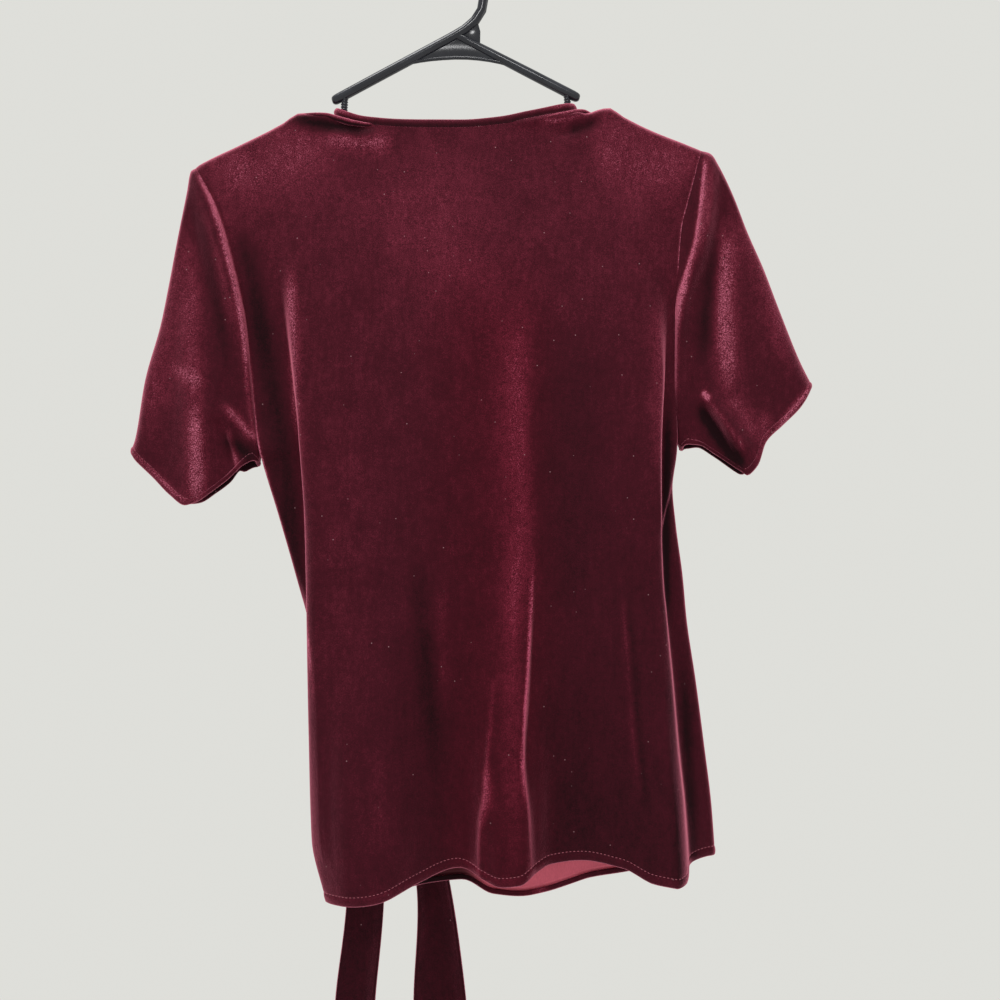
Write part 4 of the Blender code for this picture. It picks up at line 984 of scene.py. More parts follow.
def front_x(side, column, z):
    """x of one of a front's columns at height z, counted from its sewn edge."""
    sewn = sewn_edge(side, z)[0]
    if side == RIGHT:
        free = OVER_EDGE.at("x", z)
    else:
        free = sewn_edge(RIGHT, z)[0] - UNDER_INSET
        if z > UNDER_EDGE.keys[0]:
            free = min(UNDER_EDGE.at("x", z), free)
    room = min(abs(sewn - free) / FRONT_SIDE_ROOM, 1)
    if column < len(FRONT_SIDE):
        return sewn - side * FRONT_SIDE[column] * room
    near = sewn - side * FRONT_SIDE[-1] * room
    return mix(near, free, (column - len(FRONT_SIDE) + 1) / FRONT_COLUMNS[side])


def front_column(side, column):
    """One column of a front's middle surface, from the shoulder seam down."""
    top = settled_top(lambda z: front_x(side, column, z), lambda x: SHOULDERS.at("z", x))[1]
    hem = FRONT_HEM.at("z", front_x(side, column, NEAR_HEM))
    points = []
    for z in row_heights(top, ARMPIT[side], hem):
        x = front_x(side, column, z)
        if side == RIGHT:
            y = front_y(x, z, creases=OVER_CREASES)
        else:
            y = front_y(x, z, UNDER_INSET, LAYER_GAP, UNDER_FAN, UNDER_CREASES)
        y *= quarter_round((top - z) / BEND)
        points.append(Vector((x, max(y, RIDGE_GAP), z)))
    return points


# Painted highlights along the fronts' folds and drag lines, and painted shade by the ties.
FRONT_LIGHT_AND_NAP = (
    # x_top, z_top, x_mid, z_mid, x_end, z_end, left, right, share
    (-10, -420, 60, -380, 140, -330, 26, 26, 0.25),
    (-30, -500, 60, -455, 150, -420, 9, 9, 0.45),
    (-30, -540, 60, -560, 150, -600, 10, 10, 0.4),
    (-34, -560, 20, -640, 60, -760, 9, 9, 0.35),
    (120, -130, 100, -220, 80, -330, 16, 12, 0.3),
    (-122, -130, -106, -220, -92, -330, 12, 16, 0.3),
    (150, -150, 152, -260, 158, -380, 6, 9, 0.4),
    (-150, -160, -136, -280, -124, -400, 9, 6, 0.4),
    (68, -600, 70, -690, 72, -800, 12, 5, 0.5),
    (-130, -735, -40, -742, 40, -730, 16, 16, -1.0))        # painted shade above the ties


def front_light_and_nap(spot):
    return crease(FRONT_LIGHT_AND_NAP, spot.x, spot.z)


def front_grid(side):
    """A front's columns, from its sewn edge to its free one."""
    return [front_column(side, i) for i in range(len(FRONT_SIDE) + FRONT_COLUMNS[side])]


over_grid, under_grid = front_grid(RIGHT), front_grid(LEFT)[::-1]
for word, grid, flat, area in (("over", over_grid, (0.34, 0.68), 0.15),
                               ("under", under_grid, (0.44, 0.68), 0.17)):
    front = cloth(f"front_{word}_velvet", hemmed(grid, turned_rows=FRONT_TURNED),
                  f"front_{word}", front_light_and_nap)


# --------------------------------------------------------------- sleeves
# Short sleeves, each cut in one and closed under the arm, set into the armholes with
# their heads rolling over the seam. Their cuffs are turned up and stitched.

SLEEVE_ROWS = 100
SLEEVE_CROWDING = 1.3           # the greater, the closer its rows stand to the armhole
SLEEVE_ROUND = 88               # columns down each layer
HEM_LONGEST = 0.4               # share of the sleeve's length that its hem may take
UNDERARM = 0.988                # share of the armhole where each layer meets the underarm
UNDERARM_COLUMNS = 3
CUFF_ROUND = 0.09               # share of the cuff's width over which it turns
DEPTH_GROWS = 1.3               # the greater, the sooner a sleeve has its cuff's depth
SLEEVE_CLEAR = 2.2              # half walls between its edge and the panels' fold
FAR_FOLD_SHARE = 0.4            # of the creases that the front layer takes on
CLEAR_OF_FOLD = 0.05            # shares of a sleeve over which its creases rise: from its
CLEAR_OF_HEAD = 1 / 60          # outer fold, from its armhole, and from the two ends of
CLEAR_OF_ENDS = 1 / 12          # the armhole
HEAD_FULLNESS = {LEFT: 2, RIGHT: 2.3}   # how flat the top of the head's roll is
SLEEVE_RIPPLE = (0.6, 7)        # share of the cloth's unevenness, and its seed

SLEEVE_OUTER = {LEFT: Table("s x z", (
    (0, -209.8, -161.2), (0.02, -214, -164), (0.09, -217, -180), (0.21, -223, -209.6),
    (0.40, -231.2, -254), (0.54, -237.8, -287), (0.74, -250.2, -332), (0.94, -258.4, -381),
    (1, -261.8, -390))), RIGHT: Table("s x z", (
    (0, 199.6, -147.4), (0.03, 206.8, -149.6), (0.08, 213, -158.4), (0.19, 225, -183),
    (0.32, 236.6, -213), (0.46, 249.6, -242.7), (0.58, 259.6, -269), (0.81, 278.8, -317.5),
    (1, 288.4, -337)))}
CUFF_LINES = "w x z far_drop near_y far_y"
CUFF = {LEFT: Table(CUFF_LINES, (
    (0, -261.8, -390, 0, -7, 7), (0.06, -257, -396, 0, -7, 7), (0.18, -243, -409, 0, -9, 7),
    (0.32, -227.5, -424.5, 0, -10, 8), (0.43, -215.5, -432.5, -1, -11, 9),
    (0.50, -208, -430.5, 0, -8, 9), (0.62, -196, -422, 1, -5, 9), (0.74, -184, -412, 2, -2, 9),
    (0.82, -177, -405, 0, -2, 9), (0.88, -171, -400, 5, -2, 9),
    (0.955, -163, -396.5, 5, -1, 9), (1, -159.5, -398, 3, 1, 8))), RIGHT: Table(CUFF_LINES, (
    (0, 288.4, -337, 0, -7, 7), (0.14, 277, -354.5, 0, -8, 7), (0.28, 263, -368.5, 0, -8, 7),
    (0.41, 249.5, -382, 2, -9, 8), (0.50, 242.5, -400.5, -1, -11, 8),
    (0.56, 234.5, -408.5, -1, -11, 9), (0.64, 229, -405, 0.5, -8, 9), (0.77, 210, -391.5, 0.8, -3, 9),
    (0.88, 197, -384, 1.5, -2, 9), (0.955, 188, -383.5, 3, -1, 9), (1, 183, -386.5, 3, 1, 8)))}
SLEEVE_CREASES = {LEFT: (
    # x_top, z_top, x_mid, z_mid, x_end, z_end, left, right, height
    (-218, -180, -208, -229, -196, -290, 10, 8, -1.8),
    (-214, -240, -208, -340, -208, -450, 12, 9, 3.0),       # the lit band down the middle
    (-228, -300, -232, -360, -240, -430, 9, 12, -1.8),
    (-190, -344, -178, -363, -158, -386, 6, 4, 3.0),        # the roll towards the underarm
    (-198, -356, -186, -380, -174, -410, 7, 6, -3.2),
    (-183, -370, -178, -388, -173, -408, 3, 3, 2.6),
    (-206, -330, -196, -350, -186, -362, 8, 8, -1.4)), RIGHT: (
    (219, -176, 212, -230, 200, -300, 8, 10, -2.4),         # the valley beyond the head
    (204, -280, 199, -320, 203, -360, 8, 9, -1.8),
    (222, -200, 217, -290, 224, -350, 12, 12, 1.6),         # the lit band
    (196, -338, 213.5, -363, 239, -400, 2.2, 7, 3.0),       # the diagonal crease
    (195, -347, 209.5, -369, 234, -404, 4.6, 3.0, -3.8),
    (246, -250, 256, -300, 262, -380, 10, 12, -1.4))}

# The roll of each sleeve's head that stands up beside its seam.
HEAD_ROLL = {LEFT: Table(RIDGE, (
    (-150, -212, 6, 2, 0), (-172, -204.6, 9, 2, 3), (-193, -193.6, 16, 2, 5.2),
    (-228, -183.2, 16, 2, 5.4), (-276, -172, 12, 2, 4.8), (-298, -167.6, 10, 2, 3.8),
    (-341, -165.4, 7, 2, 2.4), (-393, -158, 5, 2, 1.2), (-412, -154, 5, 2, 0))),
    RIGHT: Table(RIDGE, (
    (-146, 204, 4, 8, 0), (-157, 204.6, 4.4, 8, 2.4), (-168, 203.8, 4.6, 8, 3.6),
    (-193, 201.2, 4.6, 8.5, 4.2), (-217, 198.0, 4.6, 8.5, 4.4), (-242, 191.6, 4.4, 8, 4.6),
    (-259, 184.6, 3.4, 8, 4.7), (-276, 180.8, 2.2, 8, 4.6), (-292, 179.9, 1.8, 8, 4.2),
    (-324, 179.8, 1.8, 7, 3), (-352, 181, 1.8, 6, 1.4), (-376, 182, 1.8, 6, 0)))}


def armhole_point(side, z):
    """x and z of a sleeve's sewn edge: further out where the panels turn across it."""
    clear = WALL / 2 * SLEEVE_CLEAR * side_fold(side, z)
    return Vector((SIDES[side].at("seam_x", z) + side * clear, z))


def sleeve_point(side, s, w, far):
    """A point of a sleeve. s runs from the armhole to the cuff, w from the outer fold to
    the underarm, and far is the front layer."""
    def outer(s):
        return Vector((SLEEVE_OUTER[side].at("x", s), SLEEVE_OUTER[side].at("z", s)))

    cuff = CUFF[side]
    top = SHOULDERS.at("z", SIDES[side].values["seam_x"][-1])
    hole_z = mix(top, ARMPIT[side], w)
    hole, under_top = armhole_point(side, hole_z), armhole_point(side, ARMPIT[side])
    end = Vector((cuff.at("x", w), cuff.at("z", w) - (cuff.at("far_drop", w) if far else 0)))
    under_end = Vector((cuff.at("x", 1), cuff.at("z", 1)))
    corners = outer(0).lerp(under_top, w).lerp(outer(1).lerp(under_end, w), s)
    spot = hole.lerp(end, s) + outer(s).lerp(under_top.lerp(under_end, s), w) - corners

    if far:
        hole_y = FRONT_ARMHOLE.at("y", hole_z * ARMPIT[LEFT] / ARMPIT[side])
    else:
        hole_y = SIDES[side].at("seam_y", hole_z)
    hole_y *= quarter_round((top - hole_z) / BEND)
    cuff_y = cuff.at("far_y" if far else "near_y", w) * quarter_round(w / CUFF_ROUND)
    y = mix(hole_y, cuff_y, ease(s * DEPTH_GROWS))

    ripples, seed = SLEEVE_RIPPLE
    lift = crease(SLEEVE_CREASES[side], *spot) + ripples * ripple(*spot, seed)
    lift += ridge(HEAD_ROLL[side], *spot, HEAD_FULLNESS[side])
    lift *= (quarter_round(w / CLEAR_OF_FOLD) * ease(s / CLEAR_OF_HEAD)
             * ease((1 - w) / CLEAR_OF_ENDS))
    from_seam = (spot - hole).length / SEAM_DIP_WIDTH
    lift -= SEAM_DIP * math.exp(-from_seam * from_seam) * ease(w / CLEAR_OF_ENDS)
    return Vector((spot[0], y - lift * (-FAR_FOLD_SHARE if far else 1), spot[1]))


def sleeve_grid(side):
    """Columns that go down the back layer to the underarm and up the front layer."""
    ring = [(UNDERARM * (1 - math.cos(math.pi / 2 * i / SLEEVE_ROUND)), False)
            for i in range(SLEEVE_ROUND + 1)]
    ring += [(w, True) for w, far in reversed(ring)]
    steps = [(k / SLEEVE_ROWS) ** SLEEVE_CROWDING for k in range(SLEEVE_ROWS)]
    grid = []
    for w, far in ring:
        length = (sleeve_point(side, 1, w, far) - sleeve_point(side, 0, w, far)).length
        hem_scale = min(1, HEM_LONGEST * length / HEM) / length
        whole = [step * (1 - HEM_ROWS[0] * hem_scale) for step in steps]
        whole += [1 - above * hem_scale for above in HEM_ROWS]
        grid.append([sleeve_point(side, s, w, far) for s in whole])
    near, far = grid[SLEEVE_ROUND], grid[SLEEVE_ROUND + 1]
    under = [[a.lerp(b, k / (UNDERARM_COLUMNS + 1)) for a, b in zip(near, far)]
             for k in range(1, UNDERARM_COLUMNS + 1)]
    grid = grid[:SLEEVE_ROUND + 1] + under + grid[SLEEVE_ROUND + 1:]
    return grid if side == LEFT else grid[::-1]


# Painted highlights along the sleeves' folds and cuffs, and painted shade in their grooves.
SLEEVE_LIGHT_AND_NAP = {LEFT: (
    # x_top, z_top, x_mid, z_mid, x_end, z_end, left, right, share
    (-214, -200, -208, -350, -207, -500, 10, 9, 0.36),
    (-208, -346, -206, -385, -206, -440, 6, 6, 0.4),
    (-269, -382, -238, -411, -205, -439.5, 3, 3, 0.5),      # painted highlight on the turned-up cuff
    (-224, -180, -236, -300, -250, -400, 14, 16, 0.34),     # painted highlight towards the fold
    (-232, -318, -214, -330, -196, -338, 6, 6, 0.3),
    (-188, -350, -176, -363, -160, -384, 4, 3.5, 0.6),
    (-184, -368, -179, -386, -175, -408, 2.5, 2.5, 0.8),
    (-190, -376, -176, -386, -158, -398, 6, 6, -0.7),
    (-216, -164, -198, -232, -180, -340, 6, 5, -0.4),
    (-212, -170, -188, -240, -172, -310, 7, 3, 0.3)), RIGHT: (
    (216, -190, 216, -280, 222, -366, 9, 11, 0.68),
    (226, -170, 250, -250, 276, -340, 14, 14, 0.36),        # painted highlight towards the fold
    (197, -339, 213.5, -363.5, 240, -401, 1.2, 1.8, 0.5),
    (199, -341, 202, -345, 206, -349, 2.5, 2.5, 1.0),       # painted highlight on the pinch at its head
    (194, -347, 209, -370, 237, -408, 5.5, 3.0, -1.6),
    (212, -200, 206, -250, 198, -330, 6, 6, -0.6),
    (205, -152, 203, -190, 192, -245, 4, 4, 0.4),           # painted highlight on the body of the roll
    (216, -344, 230, -360, 244, -386, 7, 9, 0.4),
    (297, -327.5, 263, -368, 238, -409.5, 3, 3, 0.7),       # painted highlight on the turned-up cuff
    (246, -352, 250, -376, 240, -398, 6, 6, 0.35))}
CUFF_SHADE = (
    (-225, -440, -186, -414, -140, -394, 9, 9, -0.9),
    (250, -420, 214, -398, 160, -380, 9, 9, -0.9))

# A painted highlight along the roll of each sleeve's head. Height is its share of open pile.
HEAD_LIT = {LEFT: Table(RIDGE, (
    (-158, -208, 2, 2, 0), (-170, -204.5, 2.4, 2, 0.7), (-188, -195.8, 2.6, 2, 0.85),
    (-228, -182.8, 2.8, 2, 0.85), (-268, -173.6, 2.8, 2, 0.85), (-301, -168.8, 2.8, 2, 0.75),
    (-325, -167.6, 2.4, 2, 0.5), (-350, -165.6, 2, 2, 0.3), (-380, -161.5, 2, 2, 0.3),
    (-392, -159, 2, 2, 0))), RIGHT: Table(RIDGE, (
    (-150, 202, 1.4, 3, 0), (-162, 200.6, 1.2, 2.4, 0.8), (-191, 197.6, 1.2, 2.2, 0.9),
    (-217, 193.9, 1.2, 2.4, 0.9), (-242, 187.4, 1.4, 3, 1.0), (-259, 182.4, 1.6, 4.4, 1.15),
    (-276, 178.6, 1.6, 3.6, 1.15), (-300, 177.8, 1.4, 2, 1.0), (-330, 178.4, 1.2, 1.6, 0.7),
    (-350, 179.5, 1.4, 1.4, 0)))}


def sleeve_light_and_nap(spot):
    """The nap of a sleeve, with painted highlights and painted shade. Its front layer has
    painted shade where the cuff gapes.
    """
    x, y, z = spot
    side = LEFT if x < 0 else RIGHT
    shade = crease(CUFF_SHADE, x, z) if y > 2 else 0
    return crease(SLEEVE_LIGHT_AND_NAP[side], x, z) + ridge(HEAD_LIT[side], x, z) + shade


sleeve_grids = {side: sleeve_grid(side) for side in (LEFT, RIGHT)}
for side, word in ((LEFT, "left"), (RIGHT, "right")):
    sleeve = cloth(f"sleeve_{word}_velvet", hemmed(sleeve_grids[side], closed=True),
                   f"sleeve_{word}", sleeve_light_and_nap, closed=True)


# -------------------------------------------------------------- neckband
# One strip of the velvet, folded lengthwise, round the back neck and down both fronts
# to the ties. Its fold is plump, and its seam pinches it below.

BAND_HEIGHT = 7.6
BAND_GAP = -0.9                 # from the panels' edge to the band's lower one
BAND_LEAN = 0.3                 # how far in it leans for each millimetre up
LEAN_OVER = 30                  # from the neck point back to where the band stands upright
SQUARE_OVER = 40                # from there down to where it is square to the front's edge
BAND_HALF = 1.35                # half its thickness where it is plumpest
BAND_THIN = 0.55                # share of that at its lower edge
BAND_FILLS = 1.6                # the greater, the lower it is plumpest
BAND_LUMPS = (0.10, 0.35)       # of its plumpness and its height
BAND_SIDES = 18
BAND_STEP = 2.4
BAND_PINCH = (0.36, 0.10)       # height and half height of its pinch, as shares of its own
PINCH_DEPTH = (0.25, 0.8)       # at the back, and at the neck points
PINCH_GROWS = {LEFT: (50, 40), RIGHT: (20, 50)}     # from this far out, over what
BAND_SOFTENED = 4               # rounds in which its course is smoothed

# The slack that rolls out from under the band at the neck points.
NECK_ROLLS = (Table("x y z radius", (
    (-126, -4.6, -119.0, 0.4), (-118, -5.6, -119.4, 1.5), (-110, -6.2, -119.8, 2.0),
    (-103, -6.4, -120.4, 2.2), (-96, -7.0, -122.4, 2.3), (-87.6, -8.4, -125.2, 2.3),
    (-80, -8.8, -127.0, 2.0), (-71, -8.0, -128.0, 1.6), (-60, -6.8, -128.4, 0.8))),
    Table("x y z radius", (
    (58, -9.2, -126.2, 0.3), (68, -9.4, -124.5, 1.2), (80, -9.2, -121.8, 1.9),
    (92.5, -7.8, -119.2, 2.4), (99, -6.4, -117.8, 2.5), (104.5, -5.0, -117.2, 2.2),
    (109, -3.6, -117.8, 1.4), (112.5, -2.6, -118.6, 0.4))))
ROLL_ROWS = 36
ROLL_TALL = 1.1
ROLL_FULL = 2.2                 # radius from which a roll is shaded in full
ROLL_SHADE_AND_HIGHLIGHT = (-0.9, 0.42)         # painted shade beneath a roll, painted highlight on top of it
BAND_SHADE_AND_HIGHLIGHT = (-0.45, 0.1, 0.5)    # painted shade in its seam, painted highlight along its fold, and there at the neck points
BAND_LIGHT_ENDS = -150            # height below which the band has no painted light
AT_NECK_POINT = (60, 35)        # from this far out, over what
OUT_OF_SEAM = (0.2, 0.35)       # from this share of its height, over what share


def back_stand(here):
    """The band stands straight up at the back and leans in at the neck points."""
    side = RIGHT if here.x > 0 else LEFT
    lean = ease((abs(here.x) - abs(NECK_POINT[side][0]) + LEAN_OVER) / LEAN_OVER)
    return Vector((-BAND_LEAN * side * lean, 0.1 * (1 - lean), 1)).normalized()


def front_stations(side, edge):
    """Points down a front's free edge, each with the way the band stands up from it: it
    goes on past the edge, square to it."""
    stations = []
    for here, below in zip(edge[BEND_ROWS:], edge[BEND_ROWS + 1:]):
        if here.z > BAND_ENDS:
            along = (here - below).normalized()
            square = Vector((-side * along.z, 0, side * along.x))
            upright = Vector((-BAND_LEAN * side, 0, 1)).normalized()
            turned = ease((NECK_POINT[side][1] - here.z) / SQUARE_OVER)
            stations.append((here, upright.lerp(square, turned).normalized()))
    return stations


def neck_stations():
    """The same all along the neck's edge, from the point of front_over round to
    front_under's end."""
    back = [(column[0], back_stand(column[0]))
            for column in reversed(back_grid[neck_from:neck_to + 1])]
    return (front_stations(RIGHT, over_grid[-1])[::-1] + back
            + front_stations(LEFT, under_grid[0]))


def even_steps(stations, step):
    """The stations at even steps along the edge, eased where it turns."""
    even = [stations[0]]
    gone = 0
    for (a, stand_a), (b, stand_b) in zip(stations, stations[1:]):
        length = (b - a).length
        while length > 0 and gone + step <= length:
            gone += step
            even.append((a.lerp(b, gone / length), stand_a.lerp(stand_b, gone / length)))
        gone -= length
    for _ in range(BAND_SOFTENED):
        inner = [((a[0] + 2 * b[0] + c[0]) / 4, (a[1] + 2 * b[1] + c[1]).normalized())
                 for a, b, c in zip(even, even[1:], even[2:])]
        even = [even[0], *inner, even[-1]]
    return even


def band_ring(stations, i, k):
    """A point of the band's skin: k goes round its folded section."""
    here, stand = stations[i]
    before, after = stations[max(i - 1, 0)][0], stations[min(i + 1, len(stations) - 1)][0]
    across = (after - before).normalized().cross(stand).normalized()
    turn = 2 * math.pi * (k % BAND_SIDES) / BAND_SIDES
    up = 0.5 - 0.5 * math.cos(turn)
    side = RIGHT if here.x > 0 else LEFT
    start, over = PINCH_GROWS[side]
    pinched, pinch_half = BAND_PINCH
    plump = mix(BAND_THIN, 1, ease(up * BAND_FILLS))
    plump += BAND_LUMPS[0] * noise.noise((i * 0.35, up * 2, 5))
    plump -= (mix(*PINCH_DEPTH, ease((side * here.x - start) / over))
              * math.exp(-((up - pinched) / pinch_half) ** 2))
    out = math.copysign(abs(math.sin(turn)) ** 0.7, math.sin(turn)) * BAND_HALF * plump
    height = BAND_HEIGHT + BAND_LUMPS[1] * noise.noise((i * 0.09, 0.5, 9))
    return here + stand * (BAND_GAP + height * up) + across * out


def roll_ring(roll, i, k):
    """A point of a slack roll below the band: i goes along it and k round it."""
    x = mix(roll.keys[0], roll.keys[-1], i / ROLL_ROWS)
    turn = 2 * math.pi * (k % BAND_SIDES) / BAND_SIDES
    radius = roll.at("radius", x)
    return Vector((x, roll.at("y", x) + radius * math.cos(turn),
                   roll.at("z", x) + radius * ROLL_TALL * math.sin(turn)))


def roll_light(roll, spot):
    """A painted highlight on top of a roll, and painted shade beneath it."""
    radius = roll.at("radius", spot.x)
    up = (spot.z - roll.at("z", spot.x)) / radius
    return mix(*ROLL_SHADE_AND_HIGHLIGHT, ease((up + 0.75) / 0.9)) * ease(radius / ROLL_FULL)


def band_light(spot):
    """A painted highlight along the fold of the strip, painted shade where it sinks into its seam."""
    if spot.z < BAND_LIGHT_ENDS:
        return 0
    in_seam, on_fold, at_neck_point = BAND_SHADE_AND_HIGHLIGHT
    above = (spot.z - BACK_NECK.at("z", spot.x)) / BAND_HEIGHT
    start, over = AT_NECK_POINT
    upper = mix(on_fold, at_neck_point, ease((abs(spot.x) - start) / over))
    start, over = OUT_OF_SEAM
    return mix(in_seam, upper, ease((above - start) / over))


band_stations = even_steps(neck_stations(), BAND_STEP)
bm = bmesh.new()
nap_and_light_layer = bm.verts.layers.float.new("brushed")
for vertex in patch(bm, BAND_SIDES, len(band_stations) - 1,
                    lambda k, i: band_ring(band_stations, i, k)):
    vertex[nap_and_light_layer] = band_light(vertex.co / MM)
for roll in NECK_ROLLS:
    for vertex in patch(bm, BAND_SIDES, ROLL_ROWS, lambda k, i, roll=roll: roll_ring(roll, i, k)):
        vertex[nap_and_light_layer] = roll_light(roll, vertex.co / MM)
welded(bm)
neckband = add_piece("neckband_velvet", bm, [velvet.surface], "neckband")


# -------------------------------------------------------------- stitching
# The hems are sewn with one row of thread a little lighter than the velvet. It sinks
# into the pile, so that each stitch shows as a short line.

STITCH_PITCH = 3.1
STITCH_HALF = (1.05, 0.24, 0.27)        # half its length, thickness and width
STITCH_SUNK = 0.32              # how deep it lies in the pile
THREAD_COLOURS = ((0.38, 0.07, 0.11, 1), (0.62, 0.19, 0.25, 1))

thread = Finish("burgundy_thread")
twisted = thread.noise(0.5, thread.place(), detail=1)
thread.set(Base_Color=thread.mixed(twisted, *THREAD_COLOURS), Roughness=0.6,
           Sheen_Weight=0.4, Sheen_Roughness=0.4)


def stitch(bm, where, along, way):
    """One stitch, lying along its row, with way pointing out of the cloth."""
    axes = [axis * half for axis, half in zip((along, way, along.cross(way)), STITCH_HALF)]
    place = Matrix(axes).transposed().to_4x4()
    place.translation = where * MM
    bmesh.ops.create_icosphere(bm, subdivisions=1, radius=MM, matrix=place)


def stitch_row(bm, grid, closed=False):
    """Stitches along a hem, at the height of its stitching."""
    row = len(grid[0]) - len(HEM_ROWS) + HEM_ROWS.index(HEM_STITCH)
    line = [(column[row], outward(grid, i, row, closed)) for i, column in enumerate(grid)]
    if closed:
        line.append(line[0])
    gone = STITCH_PITCH / 2
    for (a, way_a), (b, way_b) in zip(line, line[1:]):
        length = (b - a).length
        while length > 0 and gone <= length:
            way = way_a.lerp(way_b, gone / length).normalized()
            where = a.lerp(b, gone / length) + way * (WALL / 2 - STITCH_SUNK)
            stitch(bm, where, (b - a).normalized(), way)
            gone += STITCH_PITCH
        gone -= length


bm = bmesh.new()
for grid in (back_grid, over_grid, under_grid):
    stitch_row(bm, grid)
for grid in sleeve_grids.values():
    stitch_row(bm, grid, closed=True)
add_piece("hem_stitching", bm, [thread.surface])


# ------------------------------------------------------------------ ties
# Each tie is a strip of the velvet sewn into a flat tube: one from the point of
# front_over, one from the left side seam. They are knotted at the waist, and their
# tails hang past the hem.

TIE_WALL = 1.8
TIE_CLEAR = 2.4                 # from the middle of a front to the middle of a tie on it
TIE_COLUMNS = 18
TIE_ROWS = 190
TIE_FREE = 10                   # how far below a front's hem the tails hang clear of it
TIE_FLAT = 40                   # width at which a tie lies without pleats
TIE_NARROWED = 28               # how much narrower it is where they are deepest
TIE_PLEAT = (0.63, 9, -0.42)    # height, radians across half the width, and deepest
TIE_SLACK = (0.9, 1.1, 46)      # height, lumps across half the width, and length
TIE_SHADE, TIE_SHADE_GROWS = -0.4, (-640, 120)      # painted shade down the tails
TIE_OVER_ROUTE = (
    # x, y, z, width, curl
    (-47.2, 24.2, -522, 40, 0), (-52, 26, -522, 28, 1), (-60, 27, -524, 15, 2),
    (-67, 27.4, -532, 12, 2), (-68, 27.8, -545, 13, 2), (-62, 28.5, -575, 22, 2),
    (-44, 32, -650, 27, 3), (-20, 38, -750, 27, 6), (-14, 39, -852, 44, 5),
    (-11, 37, -930, 45, 4), (-10, 35, -1004, 45, 3))
TIE_UNDER_ROUTE = (
    (-111.5, 12, -521, 38, 0), (-104, 20, -521.5, 34, 0), (-90, 27, -522, 25, 0),
    (-78, 31.6, -524, 14, 0), (-69.5, 32.6, -532, 12, 0), (-68, 33, -545, 13, 0),
    (-70, 34.5, -580, 24, 0), (-74, 37, -660, 31, 1), (-77, 38, -770, 31, 4),
    (-85, 37, -850, 33, 5), (-87, 36, -920, 34, 4), (-88, 35, -990, 35, 3))


def spline(points, t):
    """A Catmull-Rom curve through all but the first and last points, t from 0 to 1."""
    spans = len(points) - 3
    i = min(int(t * spans), spans - 1)
    t = t * spans - i
    p = points[i:i + 4]
    return tuple(0.5 * (2 * b + (c - a) * t + (2 * a - 5 * b + 4 * c - d) * t**2
                        + (3 * b - a - 3 * c + d) * t**3)
                 for a, b, c, d in zip(*p))


def smooth_route(rows, steps):
    """Points read from a smooth curve through the rows of a route."""
    ends = [tuple(2 * a - b for a, b in zip(rows[0], rows[1]))] + list(rows)
    ends.append(tuple(2 * a - b for a, b in zip(rows[-1], rows[-2])))
    return [spline(ends, i / steps) for i in range(steps + 1)]


def tie_column(points, place, seed):
    """One lengthwise line of a tie. place runs from -1 to 1 across it."""
    (pleat, turns, deepest), (slack, lumps, length) = TIE_PLEAT, TIE_SLACK
    line = []
    for row, (x, y, z, width, curl) in enumerate(points):
        before, after = points[max(row - 1, 0)], points[min(row + 1, len(points) - 1)]
        along = Vector((after[0] - before[0], 0, after[2] - before[2])).normalized()
        across = Vector((along.z, 0, -along.x))
        spot = Vector((x, y - curl * place**2, z)) + across * (place * width / 2)
        gathered = (TIE_FLAT - width) / TIE_NARROWED
        spot.y += max(gathered * pleat * math.cos(place * turns + seed), deepest)
        spot.y += slack * noise.noise((place * lumps, z / length, seed))
        if spot.z > FRONT_HEM.at("z", spot.x) - TIE_FREE:
            beneath = LAYER_GAP if spot.x < OVER_EDGE.at("x", spot.z) else 0
            spot.y = max(spot.y, front_y(spot.x, spot.z, depth_less=beneath) + TIE_CLEAR)
        line.append(spot)
    return line


def tie_painted_shade(spot):
    return TIE_SHADE * grown(TIE_SHADE_GROWS, spot.z)


for word, route, seed, length in (("over", TIE_OVER_ROUTE, 1.7, 0.56),
                                  ("under", TIE_UNDER_ROUTE, 4.2, 0.58)):
    points = smooth_route(route, TIE_ROWS)
    grid = [tie_column(points, 1 - 2 * i / TIE_COLUMNS, seed) for i in range(TIE_COLUMNS + 1)]
    tie = cloth(f"tie_{word}_velvet", grid, f"tie_{word}", tie_painted_shade, wall=TIE_WALL,
                lining=velvet)


# ------------------------------------------------------------------ knot
# The two ties wrap once round each other. Three turns of gathered cloth show, one
# slanting across the front of the knot and one under each side of it.

KNOT_CENTRE = Vector((-68, 40.5, -535))
KNOT_TURNS = (
    # lean in degrees, shift x, shift z, reach x, reach y, half_height, half_thick
    (24, 0, 1.5, 12.5, 7.6, 9.5, 3.4), (-36, -1.5, -3.5, 12.0, 6.8, 7.0, 3.0),
    (68, 3, 1, 9.5, 6.4, 6.5, 2.8))
KNOT_ROUND = 56                 # steps round the knot
KNOT_SECTION = 60               # steps round the gathered cloth
KNOT_PLEATS = (9, 0.16)         # round the gathered cloth, and their share of its radius
KNOT_LUMPS = (5, 0.12)          # their size, and their share
KNOT_NARROW = 0.75              # share of its height where a turn goes round the sides


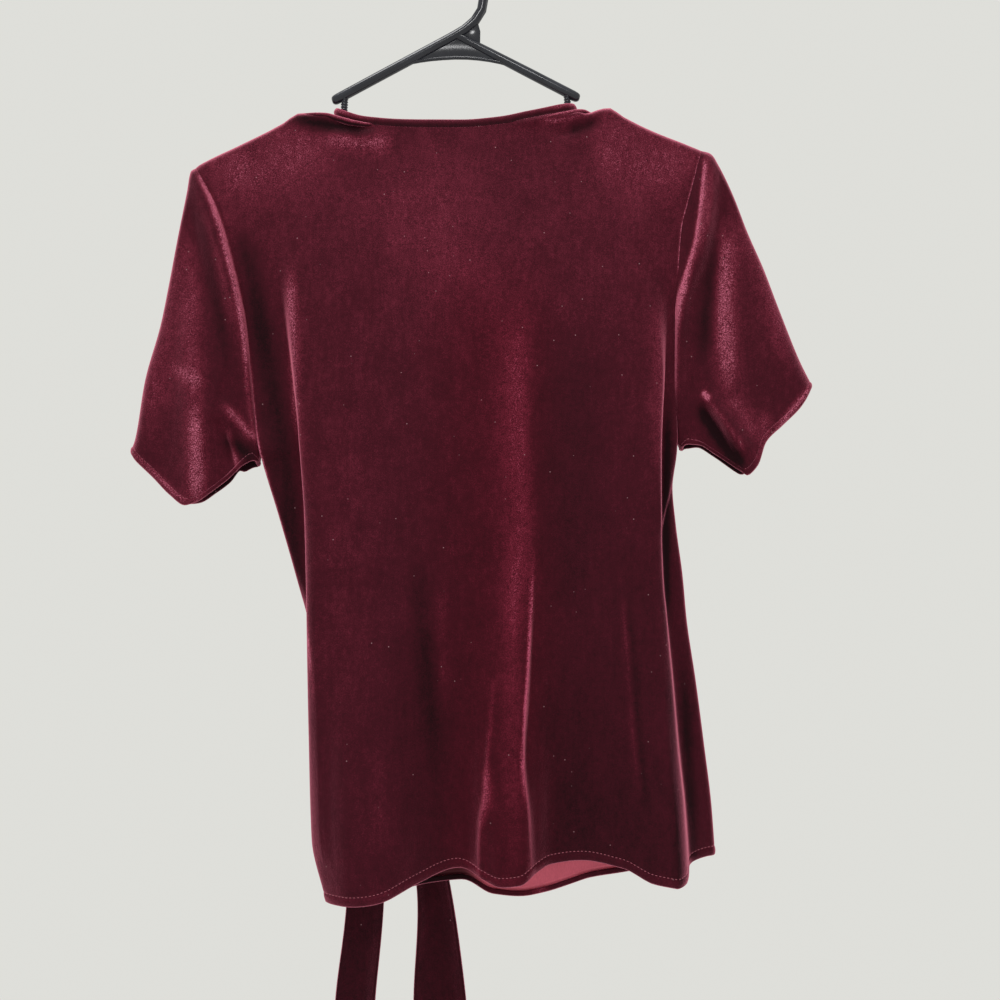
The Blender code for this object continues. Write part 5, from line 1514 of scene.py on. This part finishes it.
def knot_point(turn, i, k):
    """A point of one wrapped turn: i goes round the knot, k round the gathered cloth."""
    lean, shift_x, shift_z, reach_x, reach_y, half_height, half_thick = turn
    way = 2 * math.pi * (i % KNOT_ROUND) / KNOT_ROUND
    around = 2 * math.pi * (k % KNOT_SECTION) / KNOT_SECTION
    ring = Vector((reach_x * math.cos(way), reach_y * math.sin(way), 0))
    out = Vector((math.cos(way) / reach_x, math.sin(way) / reach_y, 0)).normalized()
    (pleats, pleat_share), (lump, lump_share) = KNOT_PLEATS, KNOT_LUMPS
    gathers = 1 + lump_share * noise.noise((ring.x / lump, ring.y / lump, lean))
    gathers += pleat_share * math.cos(around * pleats + math.sin(way) * 1.5)
    narrow = mix(KNOT_NARROW, 1, abs(math.sin(way)))
    spot = ring + out * (half_thick * math.cos(around) * gathers)
    spot.z = half_height * narrow * math.sin(around) * gathers
    spot.rotate(Matrix.Rotation(math.radians(lean), 3, "Y"))
    return KNOT_CENTRE + spot + Vector((shift_x, 0, shift_z))


bm = bmesh.new()
for turn in KNOT_TURNS:
    patch(bm, KNOT_SECTION, KNOT_ROUND, lambda k, i, turn=turn: knot_point(turn, i, k))
welded(bm)
add_piece("tie_knot_velvet", bm, [velvet.surface], "tie_knot")


# ----------------------------------------------------------------- stage
# A pale floor well below the garment, soft light from above and in front, and the
# camera level with the waist, square to the back.

FLOOR_CENTRE = (0.03, 0, -1.36)         # in metres, as all of the stage
FLOOR_RADIUS = 1.05
PALE = (0.78, 0.78, 0.76, 1)
ROOM = (0.735, 0.735, 0.70, 1)
LIGHTS = (
    # name, place, target, size, power
    ("ceiling", (-0.3, -0.35, 1.5), (0, 0, -0.35), 1.2, 26),
    ("window", (0.1, -2.0, 0.85), (0, 0, -0.2), 0.35, 6),
    ("left_wall", (-1.8, 0.1, 0.1), (0, 0, -0.4), 1.0, 2.5),
    ("right_wall", (1.8, 0.2, 0.1), (0, 0, -0.4), 1.0, 2))
CAMERA = (0.0365, -0.9, -0.4293)
LENS = 40

paper = Finish("pale_floor")
paper.set(Base_Color=PALE, Roughness=0.9)
bm = bmesh.new()
bmesh.ops.create_circle(bm, cap_ends=True, segments=96, radius=FLOOR_RADIUS)
bmesh.ops.translate(bm, verts=bm.verts, vec=FLOOR_CENTRE)
add_object("floor", bm, [paper.surface])

sky = bpy.data.worlds.new("pale_room")
sky.use_nodes = True
sky.node_tree.nodes["Background"].inputs["Color"].default_value = ROOM
sky.node_tree.nodes["Background"].inputs["Strength"].default_value = 1.0
bpy.context.scene.world = sky

for name, place, target, size, power in LIGHTS:
    data = bpy.data.lights.new(name, "AREA")
    data.shape, data.size, data.energy = "DISK", size, power
    light = bpy.data.objects.new(name, data)
    light.location = place
    light.rotation_euler = (Vector(target) - Vector(place)).to_track_quat("-Z", "Y").to_euler()
    bpy.context.collection.objects.link(light)

camera_data = bpy.data.cameras.new("camera")
camera_data.lens, camera_data.sensor_width = LENS, 36
camera = bpy.data.objects.new("camera", camera_data)
camera.location = CAMERA
camera.rotation_euler = (math.radians(90), 0, 0)
bpy.context.collection.objects.link(camera)
bpy.context.scene.camera = camera
bpy.context.scene.view_settings.view_transform = "Standard"
